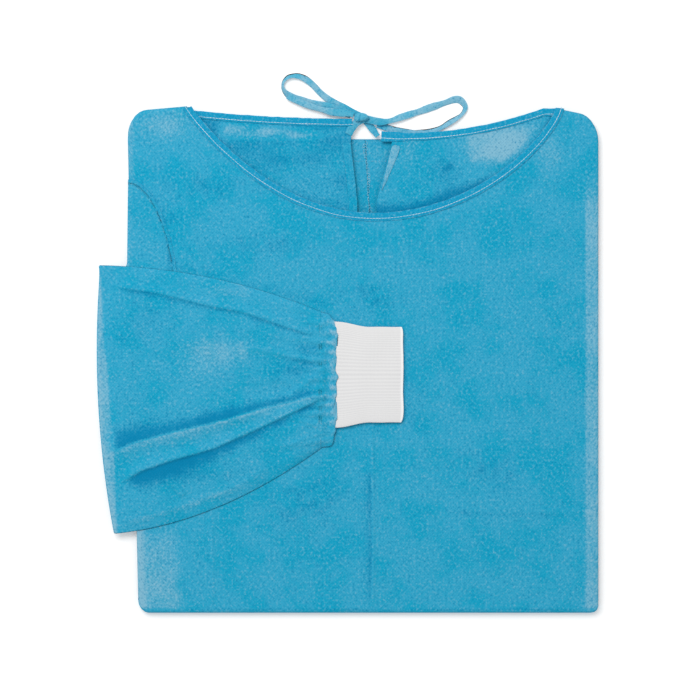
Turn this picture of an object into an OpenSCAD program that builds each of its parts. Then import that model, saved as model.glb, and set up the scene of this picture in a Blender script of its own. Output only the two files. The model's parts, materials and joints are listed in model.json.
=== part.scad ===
// Disposable gown, folded flat as it leaves its pack, front side up.
// X runs across the shoulders, Y from the bottom fold to the shoulders, Z up from the table.
// The lower half is folded under the upper half, and the left sleeve lies over the front.

/* [Folded body] */
// Width of the folded body across the shoulders
shoulder_w = 495; // [470:5:600]
// Width of the folded body at the bottom fold
bottom_w = 483; // [400:1:580]
// Length from the shoulders to the bottom fold
folded_l = 533; // [500:1:640]
// How far the hem of the lower half stays below the shoulders
hem_setback = 34.5; // [28:0.5:60]
// Depth of the turned hem
hem_depth = 23; // [10:1:40]
// Drop of the left shoulder from the neck to its tip
left_shoulder_drop = 6; // [2:1:14]
// Drop of the right shoulder from the neck to its tip
right_shoulder_drop = 12; // [4:1:14]
// Softening of the corners at the bottom fold
corner_cut = 14; // [4:1:20]
// Softening of the corners at the shoulders
shoulder_cut = 21; // [4:1:24]

/* [Neck] */
// Width of the neck opening
neck_w = 382; // [300:2:390]
// How far the neck opening sits to the right of the body's middle
neck_shift = 11.5; // [0:0.5:16]
// Depth of the front neckline
front_neck_depth = 110; // [90:1:140]
// Width of the binding around the front neckline
front_binding_w = 9; // [6:0.5:12]
// Width of the binding along the back neckline
back_binding_w = 8; // [5:0.5:10]
// Width of a line of sewing thread
thread_w = 0.8; // [0.5:0.1:1.4]

/* [Back opening] */
// Width of the opening between the back edges at the front neckline
slit_w = 20; // [14:1:30]
// Extra width that the opening gains up to the back neckline
slit_flare = 23; // [10:1:30]
// Width of the turned strip along the left back edge
facing_w = 9; // [5:0.5:14]

/* [Sleeves] */
// How far the sleeve's fold stands out past the left side of the body
sleeve_overhang = 33; // [10:1:50]
// Width of the flat sleeve at its fold
sleeve_w = 282; // [230:2:300]
// Length of the folded-over part of the sleeve, up to the wrist seam
sleeve_l = 235; // [200:1:250]
// Width of the gathered sleeve end at the wrist seam
wrist_w = 143; // [120:1:160]
// Length of the gathered band at the wrist
gather_l = 14.4; // [8:0.2:24]
// Length of the knitted cuff
cuff_l = 71.7; // [50:0.1:90]
// Width of the cuff where it is sewn on
cuff_seam_w = 111.5; // [90:0.5:118]
// Width of the cuff along most of its length
cuff_w = 100; // [80:1:108]
// Width of an armhole seam
seam_w = 3; // [2:0.5:6]
// Reach of the left armhole into the front panel
armhole_reach = 52; // [36:1:54]

/* [Plies] */
// Thickness of one folded panel with the air that it holds
ply = 1.2; // [0.8:0.1:1.5]
// Clearance between pieces that lie on each other
lie_gap = 0.3; // [0.2:0.1:0.4]
// Thickness of a raised line of thread
thread_t = 0.3; // [0.2:0.1:0.4]
// Thickness of a neck binding
binding_t = 2; // [1.8:0.1:2.6]
// Thickness of the folded left sleeve
sleeve_t = 3.6; // [2.4:0.1:5]
// Thickness of the tucked right sleeve
tucked_t = 2.4; // [2.4:0.1:4]
// Thickness of the flat cuff
cuff_t = 3.6; // [3:0.1:4.5]
// Thickness of one wall of the cuff
cuff_wall = 1.2; // [0.8:0.1:1.3]

/* [Neck ties] */
// Width of the tape
tie_w = 8; // [6:0.5:8]
// Thickness of the tape
tie_t = 1.4; // [0.8:0.1:1.4]
// Length of the knot of the bow
knot_l = 15.4; // [12:0.2:15.4]
// Width of the knot
knot_w = 9; // [7:0.5:9]
// Thickness of the knot
knot_t = 3.6; // [2.4:0.1:5]

/* [Hidden] */
// Places along X
right_x = (shoulder_w + sleeve_overhang) / 2;
left_x = right_x - shoulder_w;
left_bottom_x = right_x - bottom_w;
fold_x = left_x - sleeve_overhang;
neck_x = (left_x + right_x) / 2 + neck_shift;
slit_x = neck_x - 7;

// Places along Y
top_y = folded_l / 2;
bottom_y = -folded_l / 2;
hem_y = top_y - hem_setback;
neck_top_y = top_y - 2.5;
neck_low_y = neck_top_y - front_neck_depth;
sleeve_mid_y = top_y - 308.5;

// Heights, one layer on the other
back_lower_z = ply + lie_gap;
lower_top_z = back_lower_z + ply;
tucked_z = lower_top_z + thread_t + lie_gap;
back_upper_z = tucked_z + tucked_t + lie_gap;
back_top_z = back_upper_z + ply;
front_upper_z = back_upper_z + binding_t + thread_t + lie_gap;
front_top_z = front_upper_z + ply;
seam_rise = 0.4;
sleeve_z = front_top_z + seam_rise + lie_gap;
facing_t = 0.6;

// How far the lower half stays inside the outline of the upper half
tuck_in = 2;
curve_steps = 24;

// The left side of the front neckline is straighter than the right side
neckline_left = 1.85;
neckline_right = 1.5;
corner_steps = 4;

cloth = [0.16, 0.64, 0.80];
cloth_light = [0.30, 0.72, 0.86];
thread_white = [0.93, 0.96, 0.97];
knit_white = [0.91, 0.91, 0.91];

// Outlines ------------------------------------------------------------------

function unit(v) = v / norm(v);
function xy(p) = [p.x, p.y];
function reversed(list) = [for (i = [len(list) - 1:-1:0]) list[i]];

// A point on the curve from a to c that leans towards b
function lean(a, b, c, t) = pow(1 - t, 2) * a + 2 * t * (1 - t) * b + t * t * c;
function leaning_curve(a, b, c, steps = 8) =
    [for (i = [0:steps]) lean(a, b, c, i / steps)];

// A corner whose sharp tip is replaced by a curve that starts a cut before it
function soft_corner(before, at, after, cut) =
    leaning_curve(at + cut * unit(before - at), at, at + cut * unit(after - at), corner_steps);

// An outline through [x, y, cut] corners
function soft_outline(corners) =
    let (count = len(corners))
    [for (i = [0:count - 1])
        let (at = xy(corners[i]), cut = corners[i].z)
        each cut == 0 ? [at]
            : soft_corner(xy(corners[(i + count - 1) % count]), at,
                xy(corners[(i + 1) % count]), cut)];

// The front neckline, moved outwards by spread, from left to right
function front_neckline(spread) =
    [for (i = [0:curve_steps])
        let (angle = 180 * i / curve_steps,
            bend = angle < 90 ? neckline_left : neckline_right)
        [neck_x - (neck_w / 2 + spread) * cos(angle),
            neck_top_y - (front_neck_depth + spread) * pow(sin(angle), bend)]];

// The back neckline is flat on the left and dips on the right of the opening
left_end_x = slit_x - slit_w / 2 - 5.5;
right_end_x = slit_x + slit_w / 2 + 5;
neck_left_x = neck_x - neck_w / 2;
neck_right_x = neck_x + neck_w / 2;
function back_left_y(x) = top_y - 13.5 + 9 * pow((left_end_x - x) / (left_end_x - neck_left_x), 2);
function back_right_y(x) = top_y - 28.5 + 27 * pow((x - right_end_x - 24) / 150, 2);
function back_left_line(drop) =
    [for (i = [0:12]) let (x = neck_left_x + (left_end_x - neck_left_x) * i / 12)
        [x, back_left_y(x) - drop]];
function back_right_line(drop) =
    [for (i = [0:12]) let (x = right_end_x + (neck_right_x - right_end_x) * i / 12)
        [x, min(back_right_y(x), neck_top_y) - drop]];

// A band between two lines that run the same way
function band(line_a, line_b) = concat(line_a, reversed(line_b));

// The armhole is an ellipse on the left side of the body
armhole_y = top_y - 221.5;
function armhole_line(spread) =
    [for (i = [0:curve_steps])
        let (angle = 90 - 180 * i / curve_steps)
        [left_x + (armhole_reach + spread) * cos(angle),
            armhole_y + (sleeve_w / 2 + spread) * sin(angle)]];

module plate(points, z, thick) {
    translate([0, 0, z])
        linear_extrude(thick)
            polygon(points);
}

// Lower half ----------------------------------------------------------------

// The place where the two lower back edges meet, at a height y
function meet_x(y) = slit_x + 3 - 5 * max(0, (y - neck_low_y) / (hem_y - neck_low_y));
meet_gap = 0.4;

lower_left_bottom = [left_bottom_x + tuck_in, bottom_y];
lower_left_top = [left_x + tuck_in, hem_y];
lower_right_bottom = [right_x - tuck_in, bottom_y];
lower_right_top = [right_x - tuck_in, hem_y];

module front_panel_lower() {
    color(cloth)
        plate(soft_outline([
            [lower_left_bottom.x, bottom_y, corner_cut],
            [lower_right_bottom.x, bottom_y, corner_cut / 2],
            [lower_right_top.x, hem_y, 2],
            [lower_left_top.x, hem_y, 2]]), 0, ply);
}

module back_panel_left_lower() {
    color(cloth)
        plate(soft_outline([
            [lower_left_bottom.x, bottom_y, corner_cut],
            [meet_x(bottom_y) - meet_gap / 2, bottom_y, 0],
            [meet_x(neck_low_y) - meet_gap / 2, neck_low_y, 0],
            [meet_x(hem_y) - meet_gap / 2, hem_y, 0],
            [lower_left_top.x, hem_y, 2]]), back_lower_z, ply);
}

module back_panel_right_lower() {
    color(cloth)
        plate(soft_outline([
            [meet_x(bottom_y) + meet_gap / 2, bottom_y, 0],
            [lower_right_bottom.x, bottom_y, corner_cut / 2],
            [lower_right_top.x, hem_y, 2],
            [meet_x(hem_y) + meet_gap / 2, hem_y, 0],
            [meet_x(neck_low_y) + meet_gap / 2, neck_low_y, 0]]), back_lower_z, ply);
}

// Overlock thread that zigzags over the two lower back edges
zigzag_w = 5;
zigzag_pitch = 8;
zigzag_margin = 2;
zigzag_count = floor((hem_y - bottom_y - 2 * zigzag_margin) / zigzag_pitch * 2);
function zigzag(shift) =
    [for (i = [0:zigzag_count])
        let (y = hem_y - zigzag_margin - i * zigzag_pitch / 2)
        [meet_x(y) + (i % 2 == 0 ? -1 : 1) * zigzag_w / 2 + shift, y]];

module skirt_edge_stitching() {
    color(thread_white)
        plate(band(zigzag(-thread_w / 2), zigzag(thread_w / 2)), lower_top_z, thread_t);
}

// The hem's thread runs on both sides of the overlock thread
module hem_stitching() {
    y = hem_y - hem_depth;
    clear = zigzag_w / 2 + 1;
    left_from = left_x + 2 * tuck_in;
    color(thread_white)
        for (run = [[left_from, meet_x(y) - clear], [meet_x(y) + clear, right_x - 2 * tuck_in]])
            translate([run[0], y, lower_top_z])
                cube([run[1] - run[0], thread_w, thread_t]);
}

// Upper half, back ----------------------------------------------------------

// The back edges beside the opening
left_edge_low = [slit_x - slit_w / 2, neck_low_y + 12];
left_edge_high = [left_edge_low.x - slit_flare * 0.3, hem_y - 6];
right_edge_low = [slit_x + slit_w / 2, neck_low_y + 12];
right_edge_high = [right_edge_low.x + slit_flare * 0.7, hem_y - 6];
left_edge_bottom = [slit_x - slit_w / 2 + 3, bottom_y];
right_edge_bottom = [slit_x + slit_w / 2 - 7, bottom_y];
part_gap = 0.2;

module back_panel_left_upper() {
    color(cloth)
        plate(concat(
            soft_corner([left_x, top_y], [left_bottom_x, bottom_y], [right_x, bottom_y],
                corner_cut),
            [left_edge_bottom, left_edge_low, left_edge_high],
            reversed(back_left_line(back_binding_w + part_gap)),
            [[neck_left_x - part_gap, back_left_y(neck_left_x) - back_binding_w],
                [neck_left_x - part_gap, top_y - 1]],
            soft_corner([neck_left_x, top_y], [left_x, top_y - left_shoulder_drop],
                [left_x, bottom_y], shoulder_cut)), back_upper_z, ply);
}

module back_panel_right_upper() {
    color(cloth)
        plate(concat(
            [right_edge_low, right_edge_bottom],
            soft_corner([left_x, bottom_y], [right_x, bottom_y], [right_x, top_y],
                corner_cut / 2),
            soft_corner([right_x, bottom_y], [right_x, top_y - right_shoulder_drop],
                [neck_right_x, neck_top_y], shoulder_cut),
            [[neck_right_x + part_gap, neck_top_y]],
            reversed([for (p = back_right_line(back_binding_w + part_gap))
                if (p.x > right_edge_high.x) p]),
            [right_edge_high]), back_upper_z, ply);
}

// The strip turned back along the left edge
module back_facing_left() {
    color(cloth_light)
        plate([left_edge_low, left_edge_high, left_edge_high - [facing_w, 0],
            left_edge_low - [facing_w, 0]], back_top_z, facing_t);
}

// The loose strip beside the right edge, which narrows to a point
module back_facing_right() {
    tip = right_edge_high + 0.7 * (right_edge_low - right_edge_high);
    color(cloth_light)
        plate(soft_outline([
            [tip.x + 1, tip.y, 0],
            [right_edge_high.x + facing_w + 1, right_edge_high.y, 3],
            [right_edge_high.x + 1, right_edge_high.y, 2]]), back_top_z, facing_t);
}

module neck_binding_back_left() {
    color(cloth_light)
        plate(band(back_left_line(0), back_left_line(back_binding_w)), back_upper_z, binding_t);
}

module neck_binding_back_right() {
    color(cloth_light)
        plate(band(back_right_line(0), back_right_line(back_binding_w)), back_upper_z,
            binding_t);
}

back_thread_drop = back_binding_w * 0.7;

module neck_stitching_back_left() {
    color(thread_white)
        plate(band(back_left_line(back_thread_drop), back_left_line(back_thread_drop + thread_w)),
            back_upper_z + binding_t, thread_t);
}

module neck_stitching_back_right() {
    color(thread_white)
        plate(band(back_right_line(back_thread_drop),
            back_right_line(back_thread_drop + thread_w)), back_upper_z + binding_t, thread_t);
}

// Upper half, front ---------------------------------------------------------

module front_panel_upper() {
    color(cloth)
        difference() {
            plate(concat(
                soft_corner([left_x, top_y], [left_bottom_x, bottom_y],
                    [right_x, bottom_y], corner_cut),
                soft_corner([left_x, bottom_y], [right_x, bottom_y], [right_x, top_y],
                    corner_cut / 2),
                soft_corner([right_x, bottom_y], [right_x, top_y - right_shoulder_drop],
                    [neck_right_x, neck_top_y], shoulder_cut),
                reversed(front_neckline(front_binding_w + part_gap)),
                soft_corner([neck_left_x, top_y], [left_x, top_y - left_shoulder_drop],
                    [left_x, bottom_y], shoulder_cut)), front_upper_z, ply);
            plate(concat(armhole_line(seam_w + part_gap),
                [[fold_x - 1, armhole_y - sleeve_w / 2 - seam_w],
                    [fold_x - 1, armhole_y + sleeve_w / 2 + seam_w]]),
                front_upper_z - 1, ply + 2);
        }
}

module neck_binding_front() {
    color(cloth_light)
        plate(band(front_neckline(0), front_neckline(front_binding_w)), front_upper_z,
            binding_t);
}

front_thread_spread = front_binding_w * 0.62;

module neck_stitching_front() {
    color(thread_white)
        plate(band(front_neckline(front_thread_spread),
            front_neckline(front_thread_spread + thread_w)), front_upper_z + binding_t,
            thread_t);
}

// The shoulder seams join the front to the back between the two plies
shoulder_seam_w = 5;
shoulder_seam_inset = 2;

module shoulder_seam(neck_end, tip) {
    color(cloth)
        plate([neck_end, tip, tip - [0, shoulder_seam_w], neck_end - [0, shoulder_seam_w]],
            back_top_z, front_upper_z - back_top_z);
}

module shoulder_seam_left() {
    shoulder_seam([neck_left_x - front_binding_w - 1, neck_top_y - shoulder_seam_inset],
        [left_x + shoulder_cut, top_y - left_shoulder_drop - shoulder_seam_inset]);
}

module shoulder_seam_right() {
    shoulder_seam([neck_right_x + front_binding_w + 1, neck_top_y - 2 * shoulder_seam_inset],
        [right_x - shoulder_cut, top_y - right_shoulder_drop - shoulder_seam_inset]);
}

// Left sleeve ---------------------------------------------------------------

module armhole_seam_left() {
    color(cloth_light)
        plate(band(armhole_line(0), armhole_line(seam_w)), front_upper_z, ply + seam_rise);
}

// The sleeve's edges: the fold on the left, and the two long edges to the wrist
sleeve_top_y = sleeve_mid_y + sleeve_w / 2;
sleeve_low_y = sleeve_mid_y - sleeve_w / 2;
wrist_x = fold_x + sleeve_l + 2;
wrist_top_y = sleeve_mid_y + 20.5 + wrist_w / 2;
wrist_low_y = wrist_top_y - wrist_w;

function sleeve_fold_line(inset) =
    leaning_curve([fold_x + 2 + inset, sleeve_top_y - inset],
        [fold_x - 8 + inset, sleeve_mid_y - 18],
        [fold_x + 19 + inset, sleeve_low_y + inset]);

// The part of the sleeve between the armhole and the fold
module left_sleeve_root() {
    root_inset = 1.5;
    color(cloth)
        plate(concat(armhole_line(-part_gap),
            reversed([for (p = sleeve_fold_line(root_inset)) if (p.y < sleeve_top_y - 6) p]),
            [[left_x, sleeve_top_y - 4]]), front_upper_z, ply);
}

module left_sleeve() {
    color(cloth)
        plate(concat(
            sleeve_fold_line(0),
            leaning_curve([fold_x + 22, sleeve_low_y],
                [fold_x + 0.54 * sleeve_l, sleeve_low_y + 10], [wrist_x, wrist_low_y]),
            leaning_curve([wrist_x, wrist_top_y],
                [fold_x + 0.53 * sleeve_l, sleeve_top_y - 2], [fold_x + 6, sleeve_top_y])),
            sleeve_z, sleeve_t);
}

// The gathered band narrows from the sleeve to the cuff
cuff_x = wrist_x + gather_l;
cuff_mid_y = (wrist_top_y + wrist_low_y) / 2 + 5.6;

module gathered_band(z, thick) {
    plate([[wrist_x + part_gap, wrist_low_y + 9], [wrist_x + part_gap, wrist_top_y - 8],
        [cuff_x, cuff_mid_y + cuff_seam_w / 2], [cuff_x, cuff_mid_y - cuff_seam_w / 2]],
        z, thick);
}

module left_wrist_seam() {
    color(cloth_light)
        gathered_band(sleeve_z, sleeve_t);
}

// The cuff is a flat knitted tube, wider at its seam, open at the hand
cuff_neck_l = 36;
cuff_start_x = cuff_x + lie_gap;
function cuff_outline(inset) = [
    [cuff_start_x - (inset > 0 ? 1 : 0), cuff_mid_y - cuff_seam_w / 2 + inset, 0],
    [cuff_start_x + cuff_neck_l, cuff_mid_y - cuff_w / 2 + inset, 8],
    [cuff_start_x + cuff_l + (inset > 0 ? 1 : 0), cuff_mid_y - cuff_w / 2 + inset,
        inset > 0 ? 0 : 4],
    [cuff_start_x + cuff_l + (inset > 0 ? 1 : 0), cuff_mid_y + cuff_w / 2 - inset,
        inset > 0 ? 0 : 4],
    [cuff_start_x + cuff_neck_l, cuff_mid_y + cuff_w / 2 - inset, 8],
    [cuff_start_x - (inset > 0 ? 1 : 0), cuff_mid_y + cuff_seam_w / 2 - inset, 0]];

module flat_cuff(z, thick) {
    color(knit_white)
        difference() {
            plate(soft_outline(cuff_outline(0)), z, thick);
            plate(soft_outline(cuff_outline(2 * cuff_wall)), z + cuff_wall,
                thick - 2 * cuff_wall);
        }
}

module left_cuff() {
    flat_cuff(sleeve_z, cuff_t);
}

// Right sleeve, tucked under the back -----------------------------------------

// The right sleeve is the left one mirrored about the middle of the folded body
tuck_mirror_x = right_x + fold_x - 4;
module tucked() {
    translate([tuck_mirror_x, 0, 0])
        mirror([1, 0, 0])
            children();
}

module armhole_seam_right() {
    color(cloth_light)
        translate([right_x - tuck_in - seam_w, sleeve_low_y + 24, tucked_z])
            cube([seam_w, sleeve_w - 36, back_upper_z - tucked_z]);
}

module right_sleeve() {
    color(cloth)
        tucked()
            intersection() {
                plate(concat(
                    [[fold_x + seam_w + 3, sleeve_top_y - 6],
                        [fold_x + seam_w + 3, sleeve_low_y + 4]],
                    leaning_curve([fold_x + 22, sleeve_low_y],
                        [fold_x + 0.54 * sleeve_l, sleeve_low_y + 10], [wrist_x, wrist_low_y]),
                    leaning_curve([wrist_x, wrist_top_y],
                        [fold_x + 0.53 * sleeve_l, sleeve_top_y - 2],
                        [fold_x + 6, sleeve_top_y])), tucked_z, tucked_t);
                translate([fold_x + seam_w + 3, sleeve_low_y, tucked_z])
                    cube([sleeve_l + 40, sleeve_w, tucked_t]);
            }
}

module right_wrist_seam() {
    color(cloth_light)
        tucked()
            gathered_band(tucked_z, tucked_t);
}

module right_cuff() {
    tucked()
        flat_cuff(tucked_z, tucked_t + lie_gap);
}

// Neck ties -------------------------------------------------------------------

// The routes are drawn for a back opening and shoulders at this place, and move with them
route_home = [21, 266.5, 0];
bow_shift = [slit_x, top_y, 0] - route_home;

// Middle of the right tie: from the right binding's end, under the knot, round the left loop
RIGHT_TIE = [[32.4, 234.6, 7], [30, 238, 5.4], [26.5, 243, 3.4], [22.5, 248.5, 2],
    [17, 254.5, 1.2], [9, 259.5, 1.1], [0, 264, 1], [-9, 268, 1], [-18, 273, 1],
    [-28, 281, 1], [-36, 289.5, 1], [-44.5, 296, 1], [-53, 299, 1], [-61.5, 298, 1],
    [-67, 292.5, 1], [-67.5, 285.5, 1.1], [-63, 279.5, 1.4], [-55, 275, 1.9],
    [-44, 272, 2.4], [-32, 269.5, 2.8], [-18, 266, 3], [-9, 262.5, 3], [4, 257.5, 3]];

// Middle of the left tie: from the left binding's end, over the right tie, round the right loop
LEFT_TIE = [[7.6, 249.3, 6.4], [10.5, 250.8, 6.1], [14, 252.3, 5.6], [20, 252.8, 5.2],
    [27, 251.4, 4.9], [34, 250.2, 4.6], [41, 250.4, 4], [48, 252, 3.2], [56, 255, 2.4],
    [67, 258.5, 1.6], [78, 262, 1.1], [91, 266.5, 1], [104, 270.5, 1], [114, 272.8, 1],
    [121, 271.5, 1], [124, 266, 1], [121.5, 259.5, 1], [115, 254.5, 1], [108, 249.8, 1],
    [100, 244.8, 1], [91, 241, 1], [81, 239, 1], [70, 238.6, 1], [59, 240, 1],
    [48, 242.5, 1], [40, 245, 1], [32, 248, 1]];

// Middle of the loose tail: from the knot's left face along the left loop
TAIL = [[7, 257, 8.4], [0, 258.6, 7.5], [-9, 259.5, 6.4], [-18, 260.8, 5.6],
    [-32, 264.5, 4.8], [-45, 269.2, 4.3], [-56, 274.2, 3.9], [-62, 278, 3.6]];

tie_sides = 8;
function heading(route, i) = unit(route[min(i + 1, len(route) - 1)] - route[max(i - 1, 0)]);
function tape_ring(route, i) =
    let (ahead = heading(route, i), side = unit([-ahead.y, ahead.x, 0]), up = cross(ahead, side))
    [for (k = [0:tie_sides - 1]) let (angle = 360 * k / tie_sides)
        route[i] + side * cos(angle) * tie_w / 2 + up * sin(angle) * tie_t / 2];

// A flat tape swept along a route, one ring of points at each of the route's points
module tape(route) {
    rings = len(route);
    last = (rings - 1) * tie_sides;
    start_cap = [for (k = [0:tie_sides - 1]) k];
    end_cap = [for (k = [tie_sides - 1:-1:0]) last + k];
    walls = [for (i = [0:rings - 2], k = [0:tie_sides - 1])
        let (a = i * tie_sides + k, b = i * tie_sides + (k + 1) % tie_sides)
        each [[a, a + tie_sides, b], [b, a + tie_sides, b + tie_sides]]];
    polyhedron([for (i = [0:rings - 1]) each tape_ring(route, i)],
        concat([start_cap], [end_cap], walls));
}

module neck_tie_left() {
    color(cloth_light)
        translate(bow_shift)
            tape(LEFT_TIE);
}

module neck_tie_right() {
    color(cloth_light)
        translate(bow_shift)
            tape(RIGHT_TIE);
}

module tie_tail() {
    color(cloth_light)
        translate(bow_shift)
            tape(TAIL);
}

// The knot sits on the crossing of the two ties
KNOT_PLACE = [15.1, 254.3, 7.2];

module bow_knot() {
    far_x = knot_l / 2;
    far_y = knot_w / 2;
    color(cloth_light)
        translate(KNOT_PLACE + bow_shift)
            plate(soft_outline([[-far_x, -far_y, 3], [far_x, -far_y, 3], [far_x, far_y, 3],
                [-far_x, far_y, 3]]), 0, knot_t);
}

front_panel_lower();
back_panel_left_lower();
back_panel_right_lower();
skirt_edge_stitching();
hem_stitching();
back_panel_left_upper();
back_panel_right_upper();
back_facing_left();
back_facing_right();
neck_binding_back_left();
neck_binding_back_right();
neck_stitching_back_left();
neck_stitching_back_right();
front_panel_upper();
neck_binding_front();
neck_stitching_front();
shoulder_seam_left();
shoulder_seam_right();
armhole_seam_left();
left_sleeve_root();
left_sleeve();
left_wrist_seam();
left_cuff();
armhole_seam_right();
right_sleeve();
right_wrist_seam();
right_cuff();
neck_tie_left();
neck_tie_right();
tie_tail();
bow_knot();
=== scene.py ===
# %% [markdown]
# A disposable gown, folded flat
#
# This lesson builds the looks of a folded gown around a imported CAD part. The gown is thin
# spunbond cloth: two halves folded on each other at the bottom, a bound neckline, a bow of
# tape behind the neck, and one sleeve with a knitted cuff laid over the front.
#
# The design is worked out in millimetres, the way a pattern cutter thinks, and turned into
# metres only when a mesh is made.

# %% Load the frame
import json
import math

import bpy
import numpy as np
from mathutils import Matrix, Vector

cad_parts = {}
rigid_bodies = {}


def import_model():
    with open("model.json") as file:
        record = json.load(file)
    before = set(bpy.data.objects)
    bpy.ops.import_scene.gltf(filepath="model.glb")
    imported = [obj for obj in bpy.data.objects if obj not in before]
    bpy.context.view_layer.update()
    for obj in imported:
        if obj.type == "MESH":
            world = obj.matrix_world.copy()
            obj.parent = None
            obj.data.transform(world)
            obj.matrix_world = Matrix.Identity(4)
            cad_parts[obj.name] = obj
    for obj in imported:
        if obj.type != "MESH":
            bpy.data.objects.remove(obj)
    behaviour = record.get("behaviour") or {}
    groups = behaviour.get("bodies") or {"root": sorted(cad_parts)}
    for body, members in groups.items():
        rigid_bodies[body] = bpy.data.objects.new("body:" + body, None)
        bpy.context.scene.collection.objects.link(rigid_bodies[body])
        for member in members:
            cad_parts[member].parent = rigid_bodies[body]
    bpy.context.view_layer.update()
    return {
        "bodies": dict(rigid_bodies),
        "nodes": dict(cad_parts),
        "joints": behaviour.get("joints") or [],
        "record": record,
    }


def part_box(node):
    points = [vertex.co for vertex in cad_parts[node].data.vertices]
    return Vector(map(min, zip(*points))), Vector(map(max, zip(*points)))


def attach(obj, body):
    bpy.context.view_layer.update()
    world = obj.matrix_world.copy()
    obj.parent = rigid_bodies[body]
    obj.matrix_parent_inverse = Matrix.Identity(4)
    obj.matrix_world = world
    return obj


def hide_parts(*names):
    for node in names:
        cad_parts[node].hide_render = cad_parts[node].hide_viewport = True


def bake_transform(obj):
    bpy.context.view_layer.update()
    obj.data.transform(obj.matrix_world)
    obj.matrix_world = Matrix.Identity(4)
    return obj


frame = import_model()
MM = 0.001


def node_box(node):
    """The lowest and highest corner of a CAD node, in millimetres."""
    low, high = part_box(node)
    return np.array(low) / MM, np.array(high) / MM


def add_object(name, data):
    made = bpy.data.objects.new(name, data)
    bpy.context.collection.objects.link(made)
    return made


# %% [markdown]
# The camera looks straight down
#
# A folded gown is shown from above. The camera stands far away with a long lens, so the
# sides of the stack don't lean. Its height and field are worked out from the width of
# table that the view should hold.

# %% Camera
VIEW_WIDTH = 735.0
VIEW_MIDDLE = (3.15, 9.98)
CAMERA_HEIGHT = 2400.0
STACK_TOP = 10.0

camera_data = bpy.data.cameras.new("camera")
camera_data.sensor_width = 36.0
camera_data.lens = 36.0 * (CAMERA_HEIGHT - STACK_TOP) / VIEW_WIDTH
camera_data.clip_end = 20.0
camera = add_object("camera", camera_data)
camera.location = (VIEW_MIDDLE[0] * MM, VIEW_MIDDLE[1] * MM, CAMERA_HEIGHT * MM)
bpy.context.scene.camera = camera
bpy.context.scene.view_settings.view_transform = "Standard"
print("lens", round(camera_data.lens, 1), "mm")

# %% [markdown]
# Shaders written as sums
#
# A finish is easier to read as an expression than as a row of nodes. The small class below
# wraps the output of a node, so that + - * add the Math nodes, and one method adds any
# other node.

# %% Shader helpers
class Wire:
    """The output of a shader node, which Python's own signs can work on."""

    def __init__(self, shader, socket):
        self.shader = shader
        self.socket = socket

    def math(self, operation, *values):
        return self.shader.node("ShaderNodeMath", {"operation": operation}, list(values))

    def __add__(self, other):
        return self.math("ADD", self, other)

    def __sub__(self, other):
        return self.math("SUBTRACT", self, other)

    def __rsub__(self, other):
        return self.math("SUBTRACT", other, self)

    def __mul__(self, other):
        return self.math("MULTIPLY", self, other)

    __radd__ = __add__
    __rmul__ = __mul__

    def sine(self):
        return self.math("SINE", self)

    def size(self):
        return self.math("ABSOLUTE", self)

    def between(self, low, high):
        """0 below low, 1 above high, and a smooth step from one to the other."""
        return self.shader.node(
            "ShaderNodeMapRange",
            {"interpolation_type": "SMOOTHSTEP"},
            {"Value": self, "From Min": low, "From Max": high},
        )


class Shader:
    """A material and the one method that adds nodes to it."""

    def __init__(self, name):
        self.material = bpy.data.materials.new(name)
        self.material.use_nodes = True
        self.tree = self.material.node_tree
        self.tree.nodes.clear()

    def node(self, kind, settings=None, inputs=None, output=0):
        made = self.tree.nodes.new(kind)
        for key, value in (settings or {}).items():
            setattr(made, key, value)
        pairs = enumerate(inputs) if isinstance(inputs, list) else (inputs or {}).items()
        for key, value in pairs:
            if isinstance(value, Wire):
                self.tree.links.new(value.socket, made.inputs[key])
            elif value is not None:
                made.inputs[key].default_value = value
        return Wire(self, made.outputs[output]) if made.outputs else None

    def noise(self, place, scale, detail=2.0, roughness=0.5):
        settings = {"noise_dimensions": "3D"}
        inputs = {"Vector": place, "Scale": scale, "Detail": detail, "Roughness": roughness}
        return self.node("ShaderNodeTexNoise", settings, inputs)

    def mix(self, factor, first, second, blend="MIX"):
        settings = {"data_type": "RGBA", "blend_type": blend}
        return self.node("ShaderNodeMix", settings, {0: factor, 6: first, 7: second}, output=2)

    def bump(self, height, distance, strength):
        inputs = {"Height": height, "Distance": distance, "Strength": strength}
        return self.node("ShaderNodeBump", None, inputs)

    def on_cloth(self):
        """The place on the flat cloth, how far along and across it that is, and the tone."""
        place = self.node("ShaderNodeUVMap", {"uv_map": "cloth"})
        along = self.node("ShaderNodeSeparateXYZ", None, [place])
        across = Wire(self, along.socket.node.outputs[1])
        tone = self.node("ShaderNodeAttribute", {"attribute_name": "tone"}, output=2)
        return place, along, across, tone

    def surface(self, colour, rough, bump=None, shine=None, sheen=None, sheen_rough=None):
        inputs = {"Base Color": colour, "Roughness": rough, "Normal": bump,
                  "Specular IOR Level": shine, "Sheen Weight": sheen,
                  "Sheen Roughness": sheen_rough}
        return self.node("ShaderNodeBsdfPrincipled", None, inputs)

    def finish(self, surface):
        self.node("ShaderNodeOutputMaterial", None, {"Surface": surface})
        return self.material


def rgb(red, green, blue):
    """A colour written as on a screen, 0 to 255, in the linear values that a shader takes."""
    return tuple(
        c / 12.92 if c <= 0.04045 else ((c + 0.055) / 1.055) ** 2.4
        for c in (red / 255, green / 255, blue / 255)
    ) + (1.0,)


print("helpers ready")
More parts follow.
